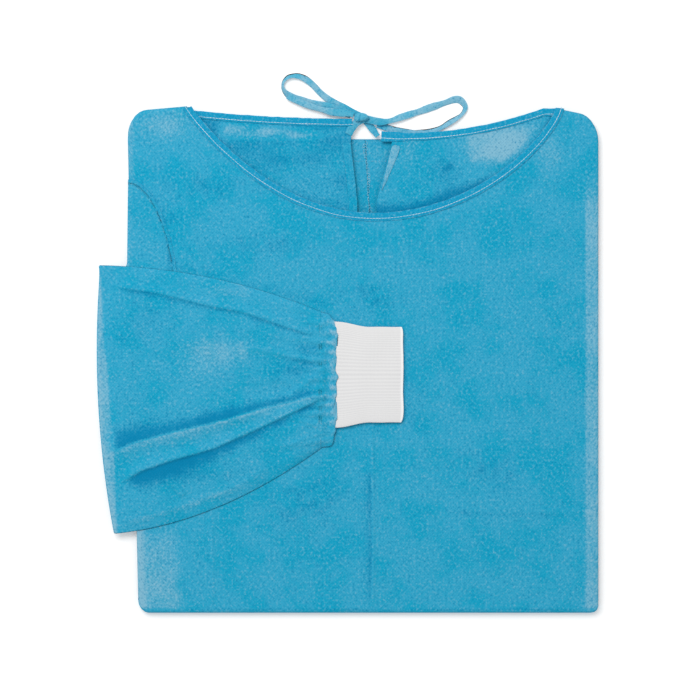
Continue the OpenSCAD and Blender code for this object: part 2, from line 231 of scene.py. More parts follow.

# %% [markdown]
# Non-woven cloth
#
# Spunbond cloth is a mat of fibres that is welded together at thousands of small points.
# Close up one sees the diamond grid of the weld points and stray fibres, and from further
# away cloudy patches where the mat is thicker or thinner. All of it is laid out on the
# cloth's own flat coordinates, in metres, so that it follows every fold. The attribute
# "tone" carries painted light and shade, with some random tone: it is paler with painted
# light where one ply lies over the white table and along pressed folds and edges, and
# deeper with painted shade in creases, beside the sleeve and under the neckline.

# %% Cloth material
# CLOTH_PALE and CLOTH_DEEP are what the tone's painted light and shade mix towards, together with
# the mat's own grain, fibres and clouds.
CLOTH_MID = rgb(52, 169, 206)
CLOTH_PATCH = rgb(2, 164, 201)
CLOTH_PALE = rgb(132, 190, 214)
CLOTH_DEEP = rgb(0, 132, 178)
WELD_PITCH = 0.0034


def cloth_material(name, mid=CLOTH_MID, cloud=1.0):
    shader = Shader(name)
    place, along, across, tone = shader.on_cloth()
    turn = math.pi / WELD_PITCH
    weld = ((along + across) * turn).sine() * ((along - across) * turn).sine()
    weld = weld.size().between(0.35, 0.95)
    fibres = shader.noise(place, 1500.0, 3.0, 0.7)
    grain = shader.noise(place, 360.0, 3.0, 0.60)
    clouds = shader.noise(place, 80.0, 4.0, 0.62)
    patches = shader.noise(place, 21.0, 5.0, 0.66)
    patch = (patches + clouds * 0.16 + grain * 0.20 - 0.02).between(0.60, 0.76) * (0.85 * cloud)
    colour = shader.mix(patch, mid, CLOTH_PATCH)
    # Paler with the tone's painted light and deeper with its painted shade; grain, fibres, clouds
    # and weld points add the mat's own random tone.
    pale = tone.between(0.0, 1.0) + grain.between(0.46, 0.72) * 0.46
    pale = pale + fibres.between(0.52, 0.75) * 0.10 + clouds.between(0.5, 0.75) * (0.16 * cloud)
    colour = shader.mix(pale.between(0.0, 1.0), colour, CLOTH_PALE)
    deep = (0.0 - tone).between(0.0, 1.0) + (1.0 - grain).between(0.46, 0.72) * 0.52
    deep = deep + weld * 0.16 + (1.0 - clouds).between(0.5, 0.75) * (0.14 * cloud)
    colour = shader.mix(deep.between(0.0, 1.0), colour, CLOTH_DEEP)
    height = fibres * 0.3 + grain * 0.9 - weld * 0.35 + clouds * 0.6
    bump = shader.bump(height, 0.0005, 0.8)
    return shader.finish(shader.surface(colour, 0.78 - weld * 0.12, bump, 0.07, 0.03, 0.5))


CLOTH = cloth_material("nonwoven_cloth")
BINDING = cloth_material("binding_cloth", mid=rgb(22, 157, 200), cloud=0.4)
TAPE = cloth_material("tape_cloth", mid=rgb(84, 178, 208), cloud=0.8)
print("cloth materials:", CLOTH.name, BINDING.name, TAPE.name)

# %% Thread material
def thread_material(name, dark, light):
    """Polyester thread, with a faint spiral of its twisted strands."""
    shader = Shader(name)
    place = shader.node("ShaderNodeTexCoord", output=3)
    twist = shader.noise(place, 1400.0, 2.0, 0.6)
    worn = shader.noise(place, 60.0, 2.0, 0.5)
    shade = twist.between(0.3, 0.7) * 0.5 + worn.between(0.4, 0.6) * 0.5
    bump = shader.bump(twist, 0.0001, 0.5)
    return shader.finish(shader.surface(shader.mix(shade, dark, light), 0.5, bump, sheen=0.1))


THREAD = thread_material("sewing_thread", rgb(150, 212, 232), rgb(236, 247, 250))
SEAM_THREAD = thread_material("overlock_thread", rgb(84, 180, 214), rgb(168, 216, 232))

# %% [markdown]
# Knitted cuff
#
# The cuff is a one-by-one rib: fine ridges of stitches run from the wrist to the hand. The
# ridges themselves are in the mesh. The shader adds the single stitches, as small waves
# along each ridge, and painted shade in the valleys, a slight greyness there.

# %% Knit material
RIB_PITCH = 0.0021
LOOP_PITCH = 0.0014


def knit_material():
    shader = Shader("knit_rib")
    place, along, round_it, tone = shader.on_cloth()
    rib = (round_it * (2 * math.pi / RIB_PITCH)).sine() * 0.5 + 0.5
    loops = (along * (2 * math.pi / LOOP_PITCH) + rib * 1.6).sine() * 0.5 + 0.5
    fuzz = shader.noise(place, 1200.0, 3.0, 0.6)
    # Painted shade: the colour is greyer in the rib valleys, where rib is low.
    shade = rib * 0.45 + loops * 0.2 + fuzz * 0.35
    colour = shader.mix(shade.between(0.1, 0.85), rgb(222, 222, 223), rgb(236, 236, 236))
    colour = shader.mix(tone.between(0.0, 1.0), colour, rgb(252, 252, 252))
    bump = shader.bump(loops * 0.6 + rib * 0.5 + fuzz * 0.4, 0.00014, 0.5)
    return shader.finish(shader.surface(colour, 0.85, bump, 0.1, 0.05, 0.5))


KNIT = knit_material()
print("thread and knit ready")

# %% [markdown]
# Meshes from grids
#
# Almost every piece here is a strip or a tube of cloth, so a grid of points is its natural
# description: rows along the cloth, columns across it. `cloth_piece` thickens a grid into a
# closed skin with two faces and a rim, and stores the flat coordinates and the tone.
# `tube_piece` joins the columns round into a closed loop.

# %% Mesh helpers
def grid_quads(rows, columns, closed=False):
    """The corner numbers of each square of a grid."""
    r = np.arange(rows - 1)[:, None]
    c = np.arange(columns if closed else columns - 1)[None, :]
    right = (c + 1) % columns
    square = [r * columns + c, r * columns + right, (r + 1) * columns + right,
              (r + 1) * columns + c]
    return np.stack([s.ravel() for s in square], axis=1)


def grid_normals(grid, closed=False):
    """The direction square to the surface at each point of a grid."""
    down = np.gradient(grid, axis=0)
    if closed:
        across = (np.roll(grid, -1, axis=1) - np.roll(grid, 1, axis=1)) / 2
    else:
        across = np.gradient(grid, axis=1)
    normal = np.cross(down, across)
    return normal / np.maximum(np.linalg.norm(normal, axis=2, keepdims=True), 1e-9)


def signed_volume(points, faces):
    """Positive when the faces of a closed mesh point outwards."""
    total = 0.0
    for size in (3, 4):
        some = np.array([face for face in faces if len(face) == size])
        for k in range(1, size - 1) if len(some) else ():
            a, b, c = points[some[:, 0]], points[some[:, k]], points[some[:, k + 1]]
            total += np.einsum("ij,ij->i", a, np.cross(b, c)).sum() / 6
    return total


def make_piece(name, points, faces, flat, tone, material):
    """A mesh object in metres, with faces turned outwards, a UV map and a tone."""
    faces = [list(face) for face in faces]
    if signed_volume(points, faces) < 0:
        faces = [face[::-1] for face in faces]
    mesh = bpy.data.meshes.new(name)
    mesh.from_pydata((points * MM).tolist(), [], faces)
    layer = mesh.uv_layers.new(name="cloth")
    corners = np.fromiter((k for face in faces for k in face), int)
    layer.data.foreach_set("uv", (flat[corners] * MM).ravel())
    mesh.attributes.new("tone", "FLOAT", "POINT").data.foreach_set("value", tone)
    mesh.polygons.foreach_set("use_smooth", [True] * len(faces))
    mesh.materials.append(material)
    piece = add_object(name, mesh)
    return piece


def flat_strip(lengths, wide):
    """Flat coordinates of a strip: along it, and across it."""
    return np.stack(np.broadcast_arrays(lengths[:, None], wide[None, :]), axis=2)


def sweep(path, frame, wide, tall):
    """Rings of points along a path, from widths across it and heights square to it."""
    side, up = frame
    return path[:, None, :] + side[:, None, :] * wide[..., None] + up[:, None, :] * tall[..., None]


def flat_lengths(grid):
    """How far each point lies along and across the cloth before it was folded."""
    down = np.linalg.norm(np.diff(grid, axis=0), axis=2)
    down = np.concatenate([np.zeros((1, grid.shape[1])), np.cumsum(down, axis=0)])
    across = np.linalg.norm(np.diff(grid, axis=1), axis=2)
    across = np.concatenate([np.zeros((grid.shape[0], 1)), np.cumsum(across, axis=1)], axis=1)
    return np.stack([down.mean(1, keepdims=True) + 0 * across, across], axis=2)


def cloth_piece(name, grid, thick, material, tone=None, flat=None):
    """A sheet with two faces and a rim, made from the grid of its middle."""
    rows, columns = grid.shape[:2]
    out = grid_normals(grid) * thick / 2
    points = np.concatenate([(grid + out).reshape(-1, 3), (grid - out).reshape(-1, 3)])
    count = rows * columns
    top = grid_quads(rows, columns)
    index = np.arange(count).reshape(rows, columns)
    edge = np.concatenate([index[0], index[1:, -1], index[-1, -2::-1], index[-2:0:-1, 0]])
    after = np.roll(edge, -1)
    rim = np.stack([edge, edge + count, after + count, after], axis=1)
    quads = np.concatenate([top, top[:, ::-1] + count, rim]).tolist()
    flat = flat_lengths(grid) if flat is None else flat
    tone = np.zeros((rows, columns)) if tone is None else tone
    return make_piece(name, points, quads, np.tile(flat.reshape(-1, 2), (2, 1)),
                      np.tile(tone.ravel(), 2), material)


def zip_ring(ring, start):
    """Triangles that close a flattened ring, from its outer row across to its inner row."""
    count = len(ring)
    half = int(np.argmax(np.linalg.norm(ring - ring[0], axis=1)))
    outer, inner = list(range(0, half + 1)), [0] + list(range(count - 1, half - 1, -1))
    faces, i, j = [], 0, 0
    while i < len(outer) - 1 or j < len(inner) - 1:
        ahead = (i + 1) / len(outer) <= (j + 1) / len(inner)
        if j == len(inner) - 1 or (ahead and i < len(outer) - 1):
            face = [outer[i], outer[i + 1], inner[j]]
            i += 1
        else:
            face = [outer[i], inner[j + 1], inner[j]]
            j += 1
        if len(set(face)) == 3:
            faces.append([start + k for k in face])
    return faces


def tube_piece(name, grid, material, tone=None, flat=None, zip_start=False):
    """A closed tube whose two ends are filled, made from rings of points."""
    rows, columns = grid.shape[:2]
    ends = [grid[0].mean(0), grid[-1].mean(0)]
    quads = grid_quads(rows, columns, closed=True).tolist()
    flat = flat_lengths(grid) if flat is None else flat
    tone = np.zeros((rows, columns)) if tone is None else tone
    last, centre = (rows - 1) * columns, rows * columns
    for c in range(0, columns, 2):
        middle, after = (c + 1) % columns, (c + 2) % columns
        if not zip_start:
            quads.append([centre + 1, after, middle, c])
        quads.append([centre, last + c, last + middle, last + after])
    if zip_start:
        quads += [face[::-1] for face in zip_ring(grid[0], 0)]
    extra = [ends[1]] if zip_start else [ends[1], ends[0]]
    points = np.concatenate([grid.reshape(-1, 3), extra])
    flat = np.concatenate([flat.reshape(-1, 2), flat[-1].mean(0)[None], flat[0].mean(0)[None]])
    tone = np.concatenate([tone.ravel(), [tone[-1].mean(), tone[0].mean()]])
    return make_piece(name, points, quads, flat, tone[: len(points)], material)


print("mesh helpers ready")

# %% [markdown]
# Soft unevenness
#
# Cloth that was folded and pressed is never quite level. `waves` gives a smooth unevenness
# of a chosen size from a seeded set of sine waves, so it is the same on every run. A second
# coordinate of 0 makes waves along a line only.
# `ridge` raises the cloth along a line, as a pressed crease or the top of a pleat does.

# %% Relief helpers
def waves(x, y, size, seed, count=9):
    """Smooth heights between about -1 and 1, with bumps of the given size."""
    random = np.random.default_rng(seed)
    total = np.zeros(np.broadcast(x, y).shape)
    for _ in range(count):
        angle, phase = random.uniform(0, 2 * math.pi, 2)
        length = size * random.uniform(0.7, 1.6)
        total += np.sin((x * math.cos(angle) + y * math.sin(angle)) * 2 * math.pi / length + phase)
    return total / math.sqrt(count * 2)


def from_line(x, y, line):
    """Distance from a line of points, on which side it lies, and how far along it is."""
    line = np.array(line, float)
    lengths = np.linalg.norm(np.diff(line, axis=0), axis=1)
    starts = np.concatenate([[0], np.cumsum(lengths)[:-1]])
    best = np.full(x.shape, 1e9)
    side, share = np.zeros(x.shape), np.zeros(x.shape)
    for (ax, ay), (bx, by), length, start in zip(line[:-1], line[1:], lengths, starts):
        ux, uy = (bx - ax) / length, (by - ay) / length
        t = np.clip((x - ax) * ux + (y - ay) * uy, 0, length)
        gap = np.hypot(x - ax - t * ux, y - ay - t * uy)
        nearer = gap < best
        best = np.where(nearer, gap, best)
        side = np.where(nearer, np.sign((x - ax) * -uy + (y - ay) * ux), side)
        share = np.where(nearer, (start + t) / lengths.sum(), share)
    return best, side, share


def ridge(x, y, line, height, left_width, right_width=None, fade=0.15):
    """A ridge along a line, with a slope of its own on each side, that fades at its ends."""
    gap, side, share = from_line(x, y, line)
    width = np.where(side > 0, left_width, right_width or left_width)
    ends = np.clip(share / fade, 0, 1) * np.clip((1 - share) / fade, 0, 1)
    return height * np.exp(-((gap / width) ** 2)) * (ends * (2 - ends))


def ease(t):
    """A smooth step from 0 to 1."""
    t = np.clip(t, 0, 1)
    return t * t * (3 - 2 * t)


print("relief helpers ready")

# %% [markdown]
# The neck ties
#
# Each tie is a strip of the gown's own cloth, folded to a flat tape about 8 mm wide and
# sewn to the end of the back neck binding. They are tied in a bow: the right tie makes the
# left loop, the left tie crosses over it and makes the right loop, and one tail lies loose
# along the left loop. The routes follow the middle lines of the CAD solids, except that the
# left tie starts lower, at the end of its binding, and its loop has a squarer corner. A tape
# is swept along a smooth curve through them, lying nearly flat, with a little twist and a
# folded edge, because that is how such a tape lies on a table.

# %% Routes of the ties
RIGHT_TIE = [[32.4, 234.6, 7], [30, 238, 5.4], [26.5, 243, 3.4], [22.5, 248.5, 2],
    [17, 254.5, 1.2], [9, 259.5, 1.1], [0, 264, 1], [-9, 268, 1], [-18, 273, 1],
    [-28, 281, 1], [-36, 289.5, 1], [-44.5, 296, 1], [-53, 299, 1], [-61.5, 298, 1],
    [-67, 292.5, 1], [-67.5, 285.5, 1.1], [-63, 279.5, 1.4], [-55, 275, 1.9],
    [-44, 272, 2.4], [-32, 269.5, 2.8], [-18, 266, 3], [-9, 262.5, 3], [4, 257.5, 3]]
LEFT_TIE = [[1.5, 236.5, 6.9], [4.6, 242.5, 6.9], [9, 248, 6.5], [14, 251.6, 5.8],
    [20, 252.8, 5.2], [27, 251.4, 4.9], [34, 250.2, 4.6], [41, 250.4, 4], [48, 252, 3.2],
    [56, 255, 2.4],
    [67, 258.5, 1.6], [78, 262, 1.1], [91, 266.5, 1], [104, 270.8, 1], [113, 273.8, 1],
    [119.5, 273.0, 1], [124.6, 266, 1], [121.5, 259.0, 1], [115, 254.0, 1], [108, 249.8, 1],
    [100, 244.8, 1], [91, 241, 1], [81, 239, 1], [70, 238.6, 1], [59, 240, 1],
    [48, 242.5, 1], [40, 245, 1], [32, 248, 1]]
TAIL = [[7, 257, 8.4], [0, 258.6, 7.5], [-9, 259.5, 6.4], [-18, 260.8, 5.6],
    [-32, 264.5, 4.8], [-45, 269.2, 4.3], [-56, 274.2, 3.9], [-62, 278, 3.6]]
TIE_WIDTH = 8.0
TABLE_GAP = 0.15
KNOT_X, KNOT_Y, KNOT_REACH = 15, 254, 45


def smooth_route(route, steps=8):
    """A Catmull-Rom curve through a route's points."""
    p = np.array(route, float)
    p = np.concatenate([[2 * p[0] - p[1]], p, [2 * p[-1] - p[-2]]])
    t = np.linspace(0, 1, steps, endpoint=False)[:, None]
    spans = [
        0.5 * (2 * b + (c - a) * t + (2 * a - 5 * b + 4 * c - d) * t**2
               + (3 * b - a - 3 * c + d) * t**3)
        for a, b, c, d in zip(p[:-3], p[1:-2], p[2:-1], p[3:])
    ]
    return np.concatenate(spans + [p[-2:-1]])


def tape_frame(path, roll):
    """Directions across a tape and square to it, turned about the path by roll degrees."""
    ahead = np.gradient(path, axis=0)
    ahead /= np.linalg.norm(ahead, axis=1, keepdims=True)
    side = np.stack([-ahead[:, 1], ahead[:, 0], 0 * ahead[:, 0]], axis=1)
    side /= np.linalg.norm(side, axis=1, keepdims=True)
    up = np.cross(ahead, side)
    turn = np.radians(roll)[:, None]
    return side * np.cos(turn) + up * np.sin(turn), up * np.cos(turn) - side * np.sin(turn)


def path_share(path):
    lengths = np.concatenate([[0], np.cumsum(np.linalg.norm(np.diff(path, axis=0), axis=1))])
    return lengths, lengths / lengths[-1]


def tape_piece(name, route, rolls, seed):
    """A folded tape: two plies, one open edge and one folded edge, a little puckered."""
    path = smooth_route(route)
    lengths, share = path_share(path)
    roll = np.interp(share, np.linspace(0, 1, len(rolls)), rolls)
    angle = np.linspace(0, 2 * math.pi, 20, endpoint=False)
    wide = np.sign(np.cos(angle)) * np.abs(np.cos(angle)) ** 0.75 * TIE_WIDTH / 2
    tall = np.sin(angle) * (0.42 + 0.16 * np.cos(angle))
    shrink = 1 - 0.30 * np.clip(waves(lengths, 0, 34, seed) + 0.2, 0, 1)
    pucker = 0.22 * waves(lengths, 0, 9, seed + 1)
    cup = -0.35 * (np.cos(angle) ** 2 - 0.5)
    grid = sweep(path, tape_frame(path, roll), wide[None, :] * shrink[:, None],
                 tall[None, :] + cup[None, :] + pucker[:, None] * np.cos(angle)[None, :] * 0.5)
    grid[..., 2] = np.maximum(grid[..., 2], TABLE_GAP)
    # Painted highlight along both edges of the tape, and painted shade that makes it deeper near
    # the knot and paler away from it; the ripple is random tone.
    edge_highlight = 0.35 * np.abs(np.cos(angle)) ** 6
    ripple = 0.34 * waves(lengths, 0, 17, seed + 2)[:, None]
    from_knot = np.hypot(path[:, 0] - KNOT_X, path[:, 1] - KNOT_Y) / KNOT_REACH
    from_knot = np.clip(from_knot, 0, 1)[:, None]
    tone = np.clip(edge_highlight[None, :] + ripple + 0.85 * from_knot - 0.30, -0.7, 0.8)
    piece = tube_piece(name, grid, TAPE, tone, flat_strip(lengths, wide))
    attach(piece, "upper_half")
    print(name, "is", round(lengths[-1]), "mm long")
    return piece, lengths[-1]


right_tie, right_length = tape_piece(
    "neck_tie_right_tape", RIGHT_TIE, [5, 15, 15, 5, 0, 5, 20, 50, 60, 15, 5, -5, 0, 5], 3)
left_tie, left_length = tape_piece(
    "neck_tie_left_tape", LEFT_TIE, [0, 5, 0, -20, -15, 0, 5, 15, 50, 35, 30, 15, 25, 20], 5)
tail, tail_length = tape_piece("tie_tail_tape", TAIL, [10, 0, -5, 5, 0], 8)

# %% [markdown]
# The knot
#
# The tape goes once round the crossing and is pulled tight, so the knot is a small bundle:
# a band across, with creases pulled in at both ends. It is a short loft of rings that
# wrap the crossing, wider in the middle, with two folds pressed into its skin.

# %% Knot
def knot_piece():
    low, high = node_box("bow_knot")
    middle = (low + high) / 2
    half_l, half_w = (high[0] - low[0]) / 2, (high[1] - low[1]) / 2
    along = np.linspace(-1, 1, 33)
    angle = np.linspace(0, 2 * math.pi, 40, endpoint=False)
    swell = np.sqrt(np.clip(1 - np.abs(along) ** 3.2, 0.05, 1))
    crease = 0.10 * np.cos(3 * angle[None, :] + 2.2 * along[:, None])
    fold = 0.13 * np.exp(-(((angle[None, :] - 1.4 - 0.9 * along[:, None]) / 0.16) ** 2))
    radius = swell[:, None] * (1 + crease - fold)
    x = middle[0] + along[:, None] * half_l + 0 * radius
    y = middle[1] + radius * np.cos(angle)[None, :] * half_w * (1 - 0.15 * along[:, None])
    z = middle[2] - 1.2 + radius * np.sin(angle)[None, :] * 3.4
    tone = 0.25 * waves(x, y, 5, 4) - 0.15
    piece = tube_piece("bow_knot_band", np.stack([x, y, z], axis=2), TAPE, tone)
    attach(piece, "upper_half")
    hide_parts("bow_knot")
    return piece


knot = knot_piece()
for tie, node, length, path, pieces in (
    (right_tie, "neck_tie_right", right_length, RIGHT_TIE, [knot]),
    (left_tie, "neck_tie_left", left_length, LEFT_TIE, [knot]),
    (tail, "tie_tail", tail_length, TAIL, []),
):
    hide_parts(node)
    far_end = "bare" if node == "tie_tail" else "knot"
    length * MM
    [tuple(p) for p in smooth_route(path) * MM]

# %% [markdown]
# The outline of the folded gown
#
# Every piece of cloth follows the same outline, so its places are read once from the CAD
# nodes: the sides, the bottom fold, the neckline and the two back edges beside the opening.

# %% Outline
front_low, front_high = node_box("front_panel_upper")
LEFT_X, BOTTOM_Y = front_low[0], front_low[1]
RIGHT_X, TOP_Y = front_high[0], node_box("back_panel_left_upper")[1][1] + 1.0
HEM_Y = node_box("front_panel_lower")[1][1]
LEFT_LEAN = 12.0
LEFT_DROP, RIGHT_DROP = 6.0, 12.0

binding_low, binding_high = node_box("neck_binding_front")
FRONT_BINDING = 9.0
NECK_X = (binding_low[0] + binding_high[0]) / 2
NECK_HALF = (binding_high[0] - binding_low[0]) / 2 - FRONT_BINDING
NECK_TOP = binding_high[1]
NECK_DEPTH = NECK_TOP - binding_low[1] - FRONT_BINDING
NECK_LEFT, NECK_RIGHT = NECK_X - NECK_HALF, NECK_X + NECK_HALF
LEFT_END = node_box("neck_binding_back_left")[1][0]
RIGHT_END = node_box("neck_binding_back_right")[0][0]


def front_neckline(spread, count=220):
    """The front neckline moved outwards by spread, from left to right."""
    angle = np.linspace(0, math.pi, count)
    bend = np.where(angle < math.pi / 2, 1.85, 1.5)
    return np.stack([NECK_X - (NECK_HALF + spread) * np.cos(angle),
                     NECK_TOP - (NECK_DEPTH + spread) * np.sin(angle) ** bend], axis=1)


def front_neck_y(x, spread):
    """How high the front cloth reaches inside the width of the neck."""
    cosine = np.clip((NECK_X - x) / (NECK_HALF + spread), -1, 1)
    bend = np.where(cosine > 0, 1.85, 1.5)
    return NECK_TOP - (NECK_DEPTH + spread) * (1 - cosine**2) ** (bend / 2)


def back_left_y(x):
    return TOP_Y - 13.5 + 9 * ((LEFT_END - x) / (LEFT_END - NECK_LEFT)) ** 2


def back_right_y(x):
    return np.minimum(TOP_Y - 28.5 + 27 * ((x - RIGHT_END - 24) / 150) ** 2, NECK_TOP)


def side_x(y):
    """The left side leans outwards towards the shoulder."""
    return LEFT_X + LEFT_LEAN * (TOP_Y - y) / (TOP_Y - BOTTOM_Y)


def shoulder_y(x):
    left = TOP_Y - LEFT_DROP * (NECK_LEFT - x) / (NECK_LEFT - LEFT_X)
    right = NECK_TOP - (RIGHT_DROP - 2.5) * (x - NECK_RIGHT) / (RIGHT_X - NECK_RIGHT)
    return np.where(x < NECK_X, left, right)


def round_off(distance, reach, drop=None):
    """How much a rounded corner takes off at a distance from the side."""
    inside = np.clip(1 - distance / reach, 0, 1)
    return (reach if drop is None else drop) * (1 - np.sqrt(1 - inside**2))


print("neck", round(2 * NECK_HALF), "x", round(NECK_DEPTH), "mm")

# %% [markdown]
# The front cloth
#
# On the real gown the front is one length of cloth that runs from the neckline down to the
# bottom fold, round it, and back up under the body to the hem. Two flat plates would leave
# a slot at the fold, so one sheet is made here, along the path that the cloth takes.

# %% Front cloth
CLOTH_THICK = 0.35
FRONT_Z, LOWER_Z = 9.25, 0.45
FRONT_FOLD, BACK_FOLD = 3.2, 1.8
LEFT_SHOULDER_DROP, RIGHT_SHOULDER_DROP = 28, 26
LEFT_LOW_ROUND, RIGHT_LOW_ROUND = 13, 7
PRESSED = [
    ([(27, -262), (27.5, -200), (27, -120), (26, -60)], 0.75, 1.7),
    ([(-142, -262), (-141, -210), (-142, -150)], 0.6, 1.8),
    ([(200, -159), (232, -161), (262, -160)], 0.5, 2.2),
    ([(-181, 214), (-169, 164), (-155, 109), (-150, 60)], 0.9, 3.5),
    ([(-219, 250), (-202, 243)], 0.7, 2.0),
    ([(150, 60), (190, -40), (205, -130)], 0.35, 9.0),
    ([(60, 90), (100, -20), (95, -120)], 0.3, 12.0),
]


def front_relief(x, y):
    height = 0.20 * waves(x, y, 95, 1) + 0.10 * waves(x, y, 30, 2)
    under_sleeve = ease((-10 - x) / 30) * ease((105 - y) / 20) * ease((y + 190) / 20)
    height = height * (1 - 0.7 * under_sleeve)
    for line, rise, width in PRESSED:
        height = height + ridge(x, y, line, rise, width)
    return height


def spot(x, y, at, reach):
    """A soft patch: 1 in its middle, 0 well outside its reach."""
    return np.exp(-(((x - at[0]) / reach[0]) ** 2) - ((y - at[1]) / reach[1]) ** 2)


def beside(x, y, line, width, above):
    """A soft band on one side of a line: strongest at the line, gone after its width."""
    gap, side, share = from_line(x, y, line)
    ends = np.clip(share / 0.08, 0, 1) * np.clip((1 - share) / 0.08, 0, 1)
    away = gap * side * (1 if above else -1)
    return ease(away / 3.4 + 0.5) * np.exp(-((away / width) ** 2)) * ends


def front_tone(x, y):
    tone = 0.06 * waves(x, y, 60, 11) + 0.04 * waves(x, y, 22, 12)
    # Painted highlight along the pressed creases.
    for line, _, width in PRESSED[:5]:
        tone = tone + ridge(x, y, line, 0.20, width * 0.8)
    # Painted light: paler along the right and left edges, in a strip at the lower left and in two
    # spots by the shoulders.
    right, left = RIGHT_X - x, x - side_x(y)
    tone = tone + 0.46 * ease((17 - right) / 5) * ease((235 - y) / 90)
    tone = tone + 0.35 * ease((9 - left) / 4)
    strip = ease((56 - left + 4 * waves(y, 0, 40, 15)) / 22)
    tone = tone + 0.42 * strip * ease((-160 - y) / 40)
    tone = tone + 0.42 * spot(x, y, (-186, 246), (30, 20)) + 0.3 * spot(x, y, (212, 222), (16, 40))
    # Painted shade beside the two pressed creases and along the bottom fold.
    tone = tone - 0.45 * beside(x, y, [(26, -262), (27, -200), (26, -110)], 8, above=True)
    tone = tone - 0.35 * beside(x, y, [(110, -158), (170, -161), (240, -159)], 6, above=False)
    tone = tone - 0.55 * ease((BOTTOM_Y + 7 - y) / 6)
    # Painted shadow of the sleeve on the front, in a band above the sleeve's top edge.
    sleeve_shadow_line = [(-232, 99), (-185, 95), (-131, 84), (-74, 70), (-11, 51)]
    tone = tone - 0.30 * beside(x, y, sleeve_shadow_line, 9, above=True)
    dark = [((-138, 182), (42, 14)), ((-200, 160), (30, 34)), ((22, 62), (34, 18)),
            ((55, -45), (30, 24)), ((150, -120), (38, 26)), ((-40, -150), (46, 40)),
            ((-10, 160), (30, 8)), ((-85, 120), (50, 14))]
    for at, reach in dark:
        tone = tone - 0.26 * spot(x, y, at, reach) * (1 + 0.6 * waves(x, y, 17, 16))
    return np.clip(tone, -0.75, 0.85)


def fold_rows(radius, low_z, high_z, steps):
    """The half circle of a fold: places along Y, from its lowest one, and along Z."""
    turn = np.linspace(-math.pi / 2, -3 * math.pi / 2, steps)
    return (radius + np.cos(turn) * radius,
            (low_z + high_z) / 2 + np.sin(turn) * (high_z - low_z) / 2)


def flat_from_fold(grid, fold_row):
    """Flat coordinates: along the cloth from the bottom fold, and across it."""
    along = np.linalg.norm(np.diff(grid, axis=0), axis=2)
    along = np.concatenate([np.zeros((1, grid.shape[1])), np.cumsum(along, axis=0)])
    return np.stack([along - along[fold_row], grid[..., 0]], axis=2)


def front_columns():
    """Places across the gown, closer together at the neck's ends and the pressed lines."""
    neck = front_neckline(5, 81)[:, 0]
    even = np.arange(LEFT_X, RIGHT_X, 4.2)
    sides = np.concatenate([LEFT_X + np.array([0, 0.5, 1.1, 1.9]),
                            RIGHT_X - np.array([0, 0.5, 1.1, 1.9])])
    lines = np.concatenate([middle + np.array([-2.7, -1.8, -0.9, 0, 0.9, 1.8, 2.7])
                            for middle in (27, -142)])
    places = np.sort(np.concatenate([neck, even, sides, lines]))
    keep = [places[0]]
    for place in places[1:-1]:
        if place - keep[-1] > 0.45:
            keep.append(place)
    return np.array(keep + [places[-1]])


def front_cloth():
    x = front_columns()
    top = np.where((x > NECK_LEFT - 5) & (x < NECK_RIGHT + 5), front_neck_y(x, 5.0),
                   shoulder_y(x))
    top = top - round_off(x - LEFT_X, 20, LEFT_SHOULDER_DROP)
    top = top - round_off(RIGHT_X - x, 19, RIGHT_SHOULDER_DROP)
    low = BOTTOM_Y + 0.2 + round_off(x - LEFT_X, LEFT_LOW_ROUND)
    low = low + round_off(RIGHT_X - x, RIGHT_LOW_ROUND)
    fold_y, fold_z = fold_rows(FRONT_FOLD, LOWER_Z, FRONT_Z, 10)
    under = HEM_Y + (low + FRONT_FOLD - HEM_Y) * np.linspace(0, 1, 44)[:-1, None]
    over = (low + FRONT_FOLD) + (top - low - FRONT_FOLD) * np.linspace(0, 1, 172)[1:, None]
    y = np.concatenate([under, low + fold_y[:, None], over])
    base = np.concatenate([np.full(len(under), LOWER_Z), fold_z, np.full(len(over), FRONT_Z)])
    z = np.broadcast_to(base[:, None], y.shape).copy()
    x = np.broadcast_to(x, y.shape)
    lean = np.clip((NECK_LEFT - x) / (NECK_LEFT - LEFT_X), 0, 1)
    x = x + lean * (side_x(y) - LEFT_X)
    is_over = (base > FRONT_Z - 0.01)[:, None]
    is_under = (base < LOWER_Z + 0.01)[:, None]
    middle = (LEFT_X + RIGHT_X) / 2
    x = middle + (x - middle) * (1 - np.where(is_under, 2.0, 0) / 247)
    z = z + np.where(is_over, front_relief(x, y), 0) + np.where(is_under, 0.15, 0)
    side = np.minimum(x - side_x(y), RIGHT_X - x)
    curl = 1 - np.sqrt(1 - np.clip(1 - side / 2.2, 0, 1) ** 2)
    z = z - np.where(is_over, 1.3, 0) * curl + np.where(is_under, 0.7, 0) * curl
    shoulder = np.clip(1 - (top - y) / 2.5, 0, 1) * ((x < NECK_LEFT) | (x > NECK_RIGHT))
    z = z - np.where(is_over, 0.9, 0) * (1 - np.sqrt(1 - shoulder**2))
    tone = np.where(is_over, front_tone(x, y), 0.0)
    grid = np.stack([x, y, z], axis=2)
    piece = cloth_piece("front_cloth", grid, CLOTH_THICK, CLOTH, tone,
                        flat_from_fold(grid, len(under) + 5))
    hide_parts("front_panel_upper", "front_panel_lower")
    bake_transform(piece)
    return piece


front = front_cloth()
print("front cloth:", len(front.data.polygons), "faces")

# %% [markdown]
# The back cloths
#
# The back is open from neck to hem, so it is two panels. Each takes the same path as the
# front, inside it. Above, their edges part towards the neck and leave the slit of the back
# opening. Below, in the half that is folded under, they meet, edge to edge.

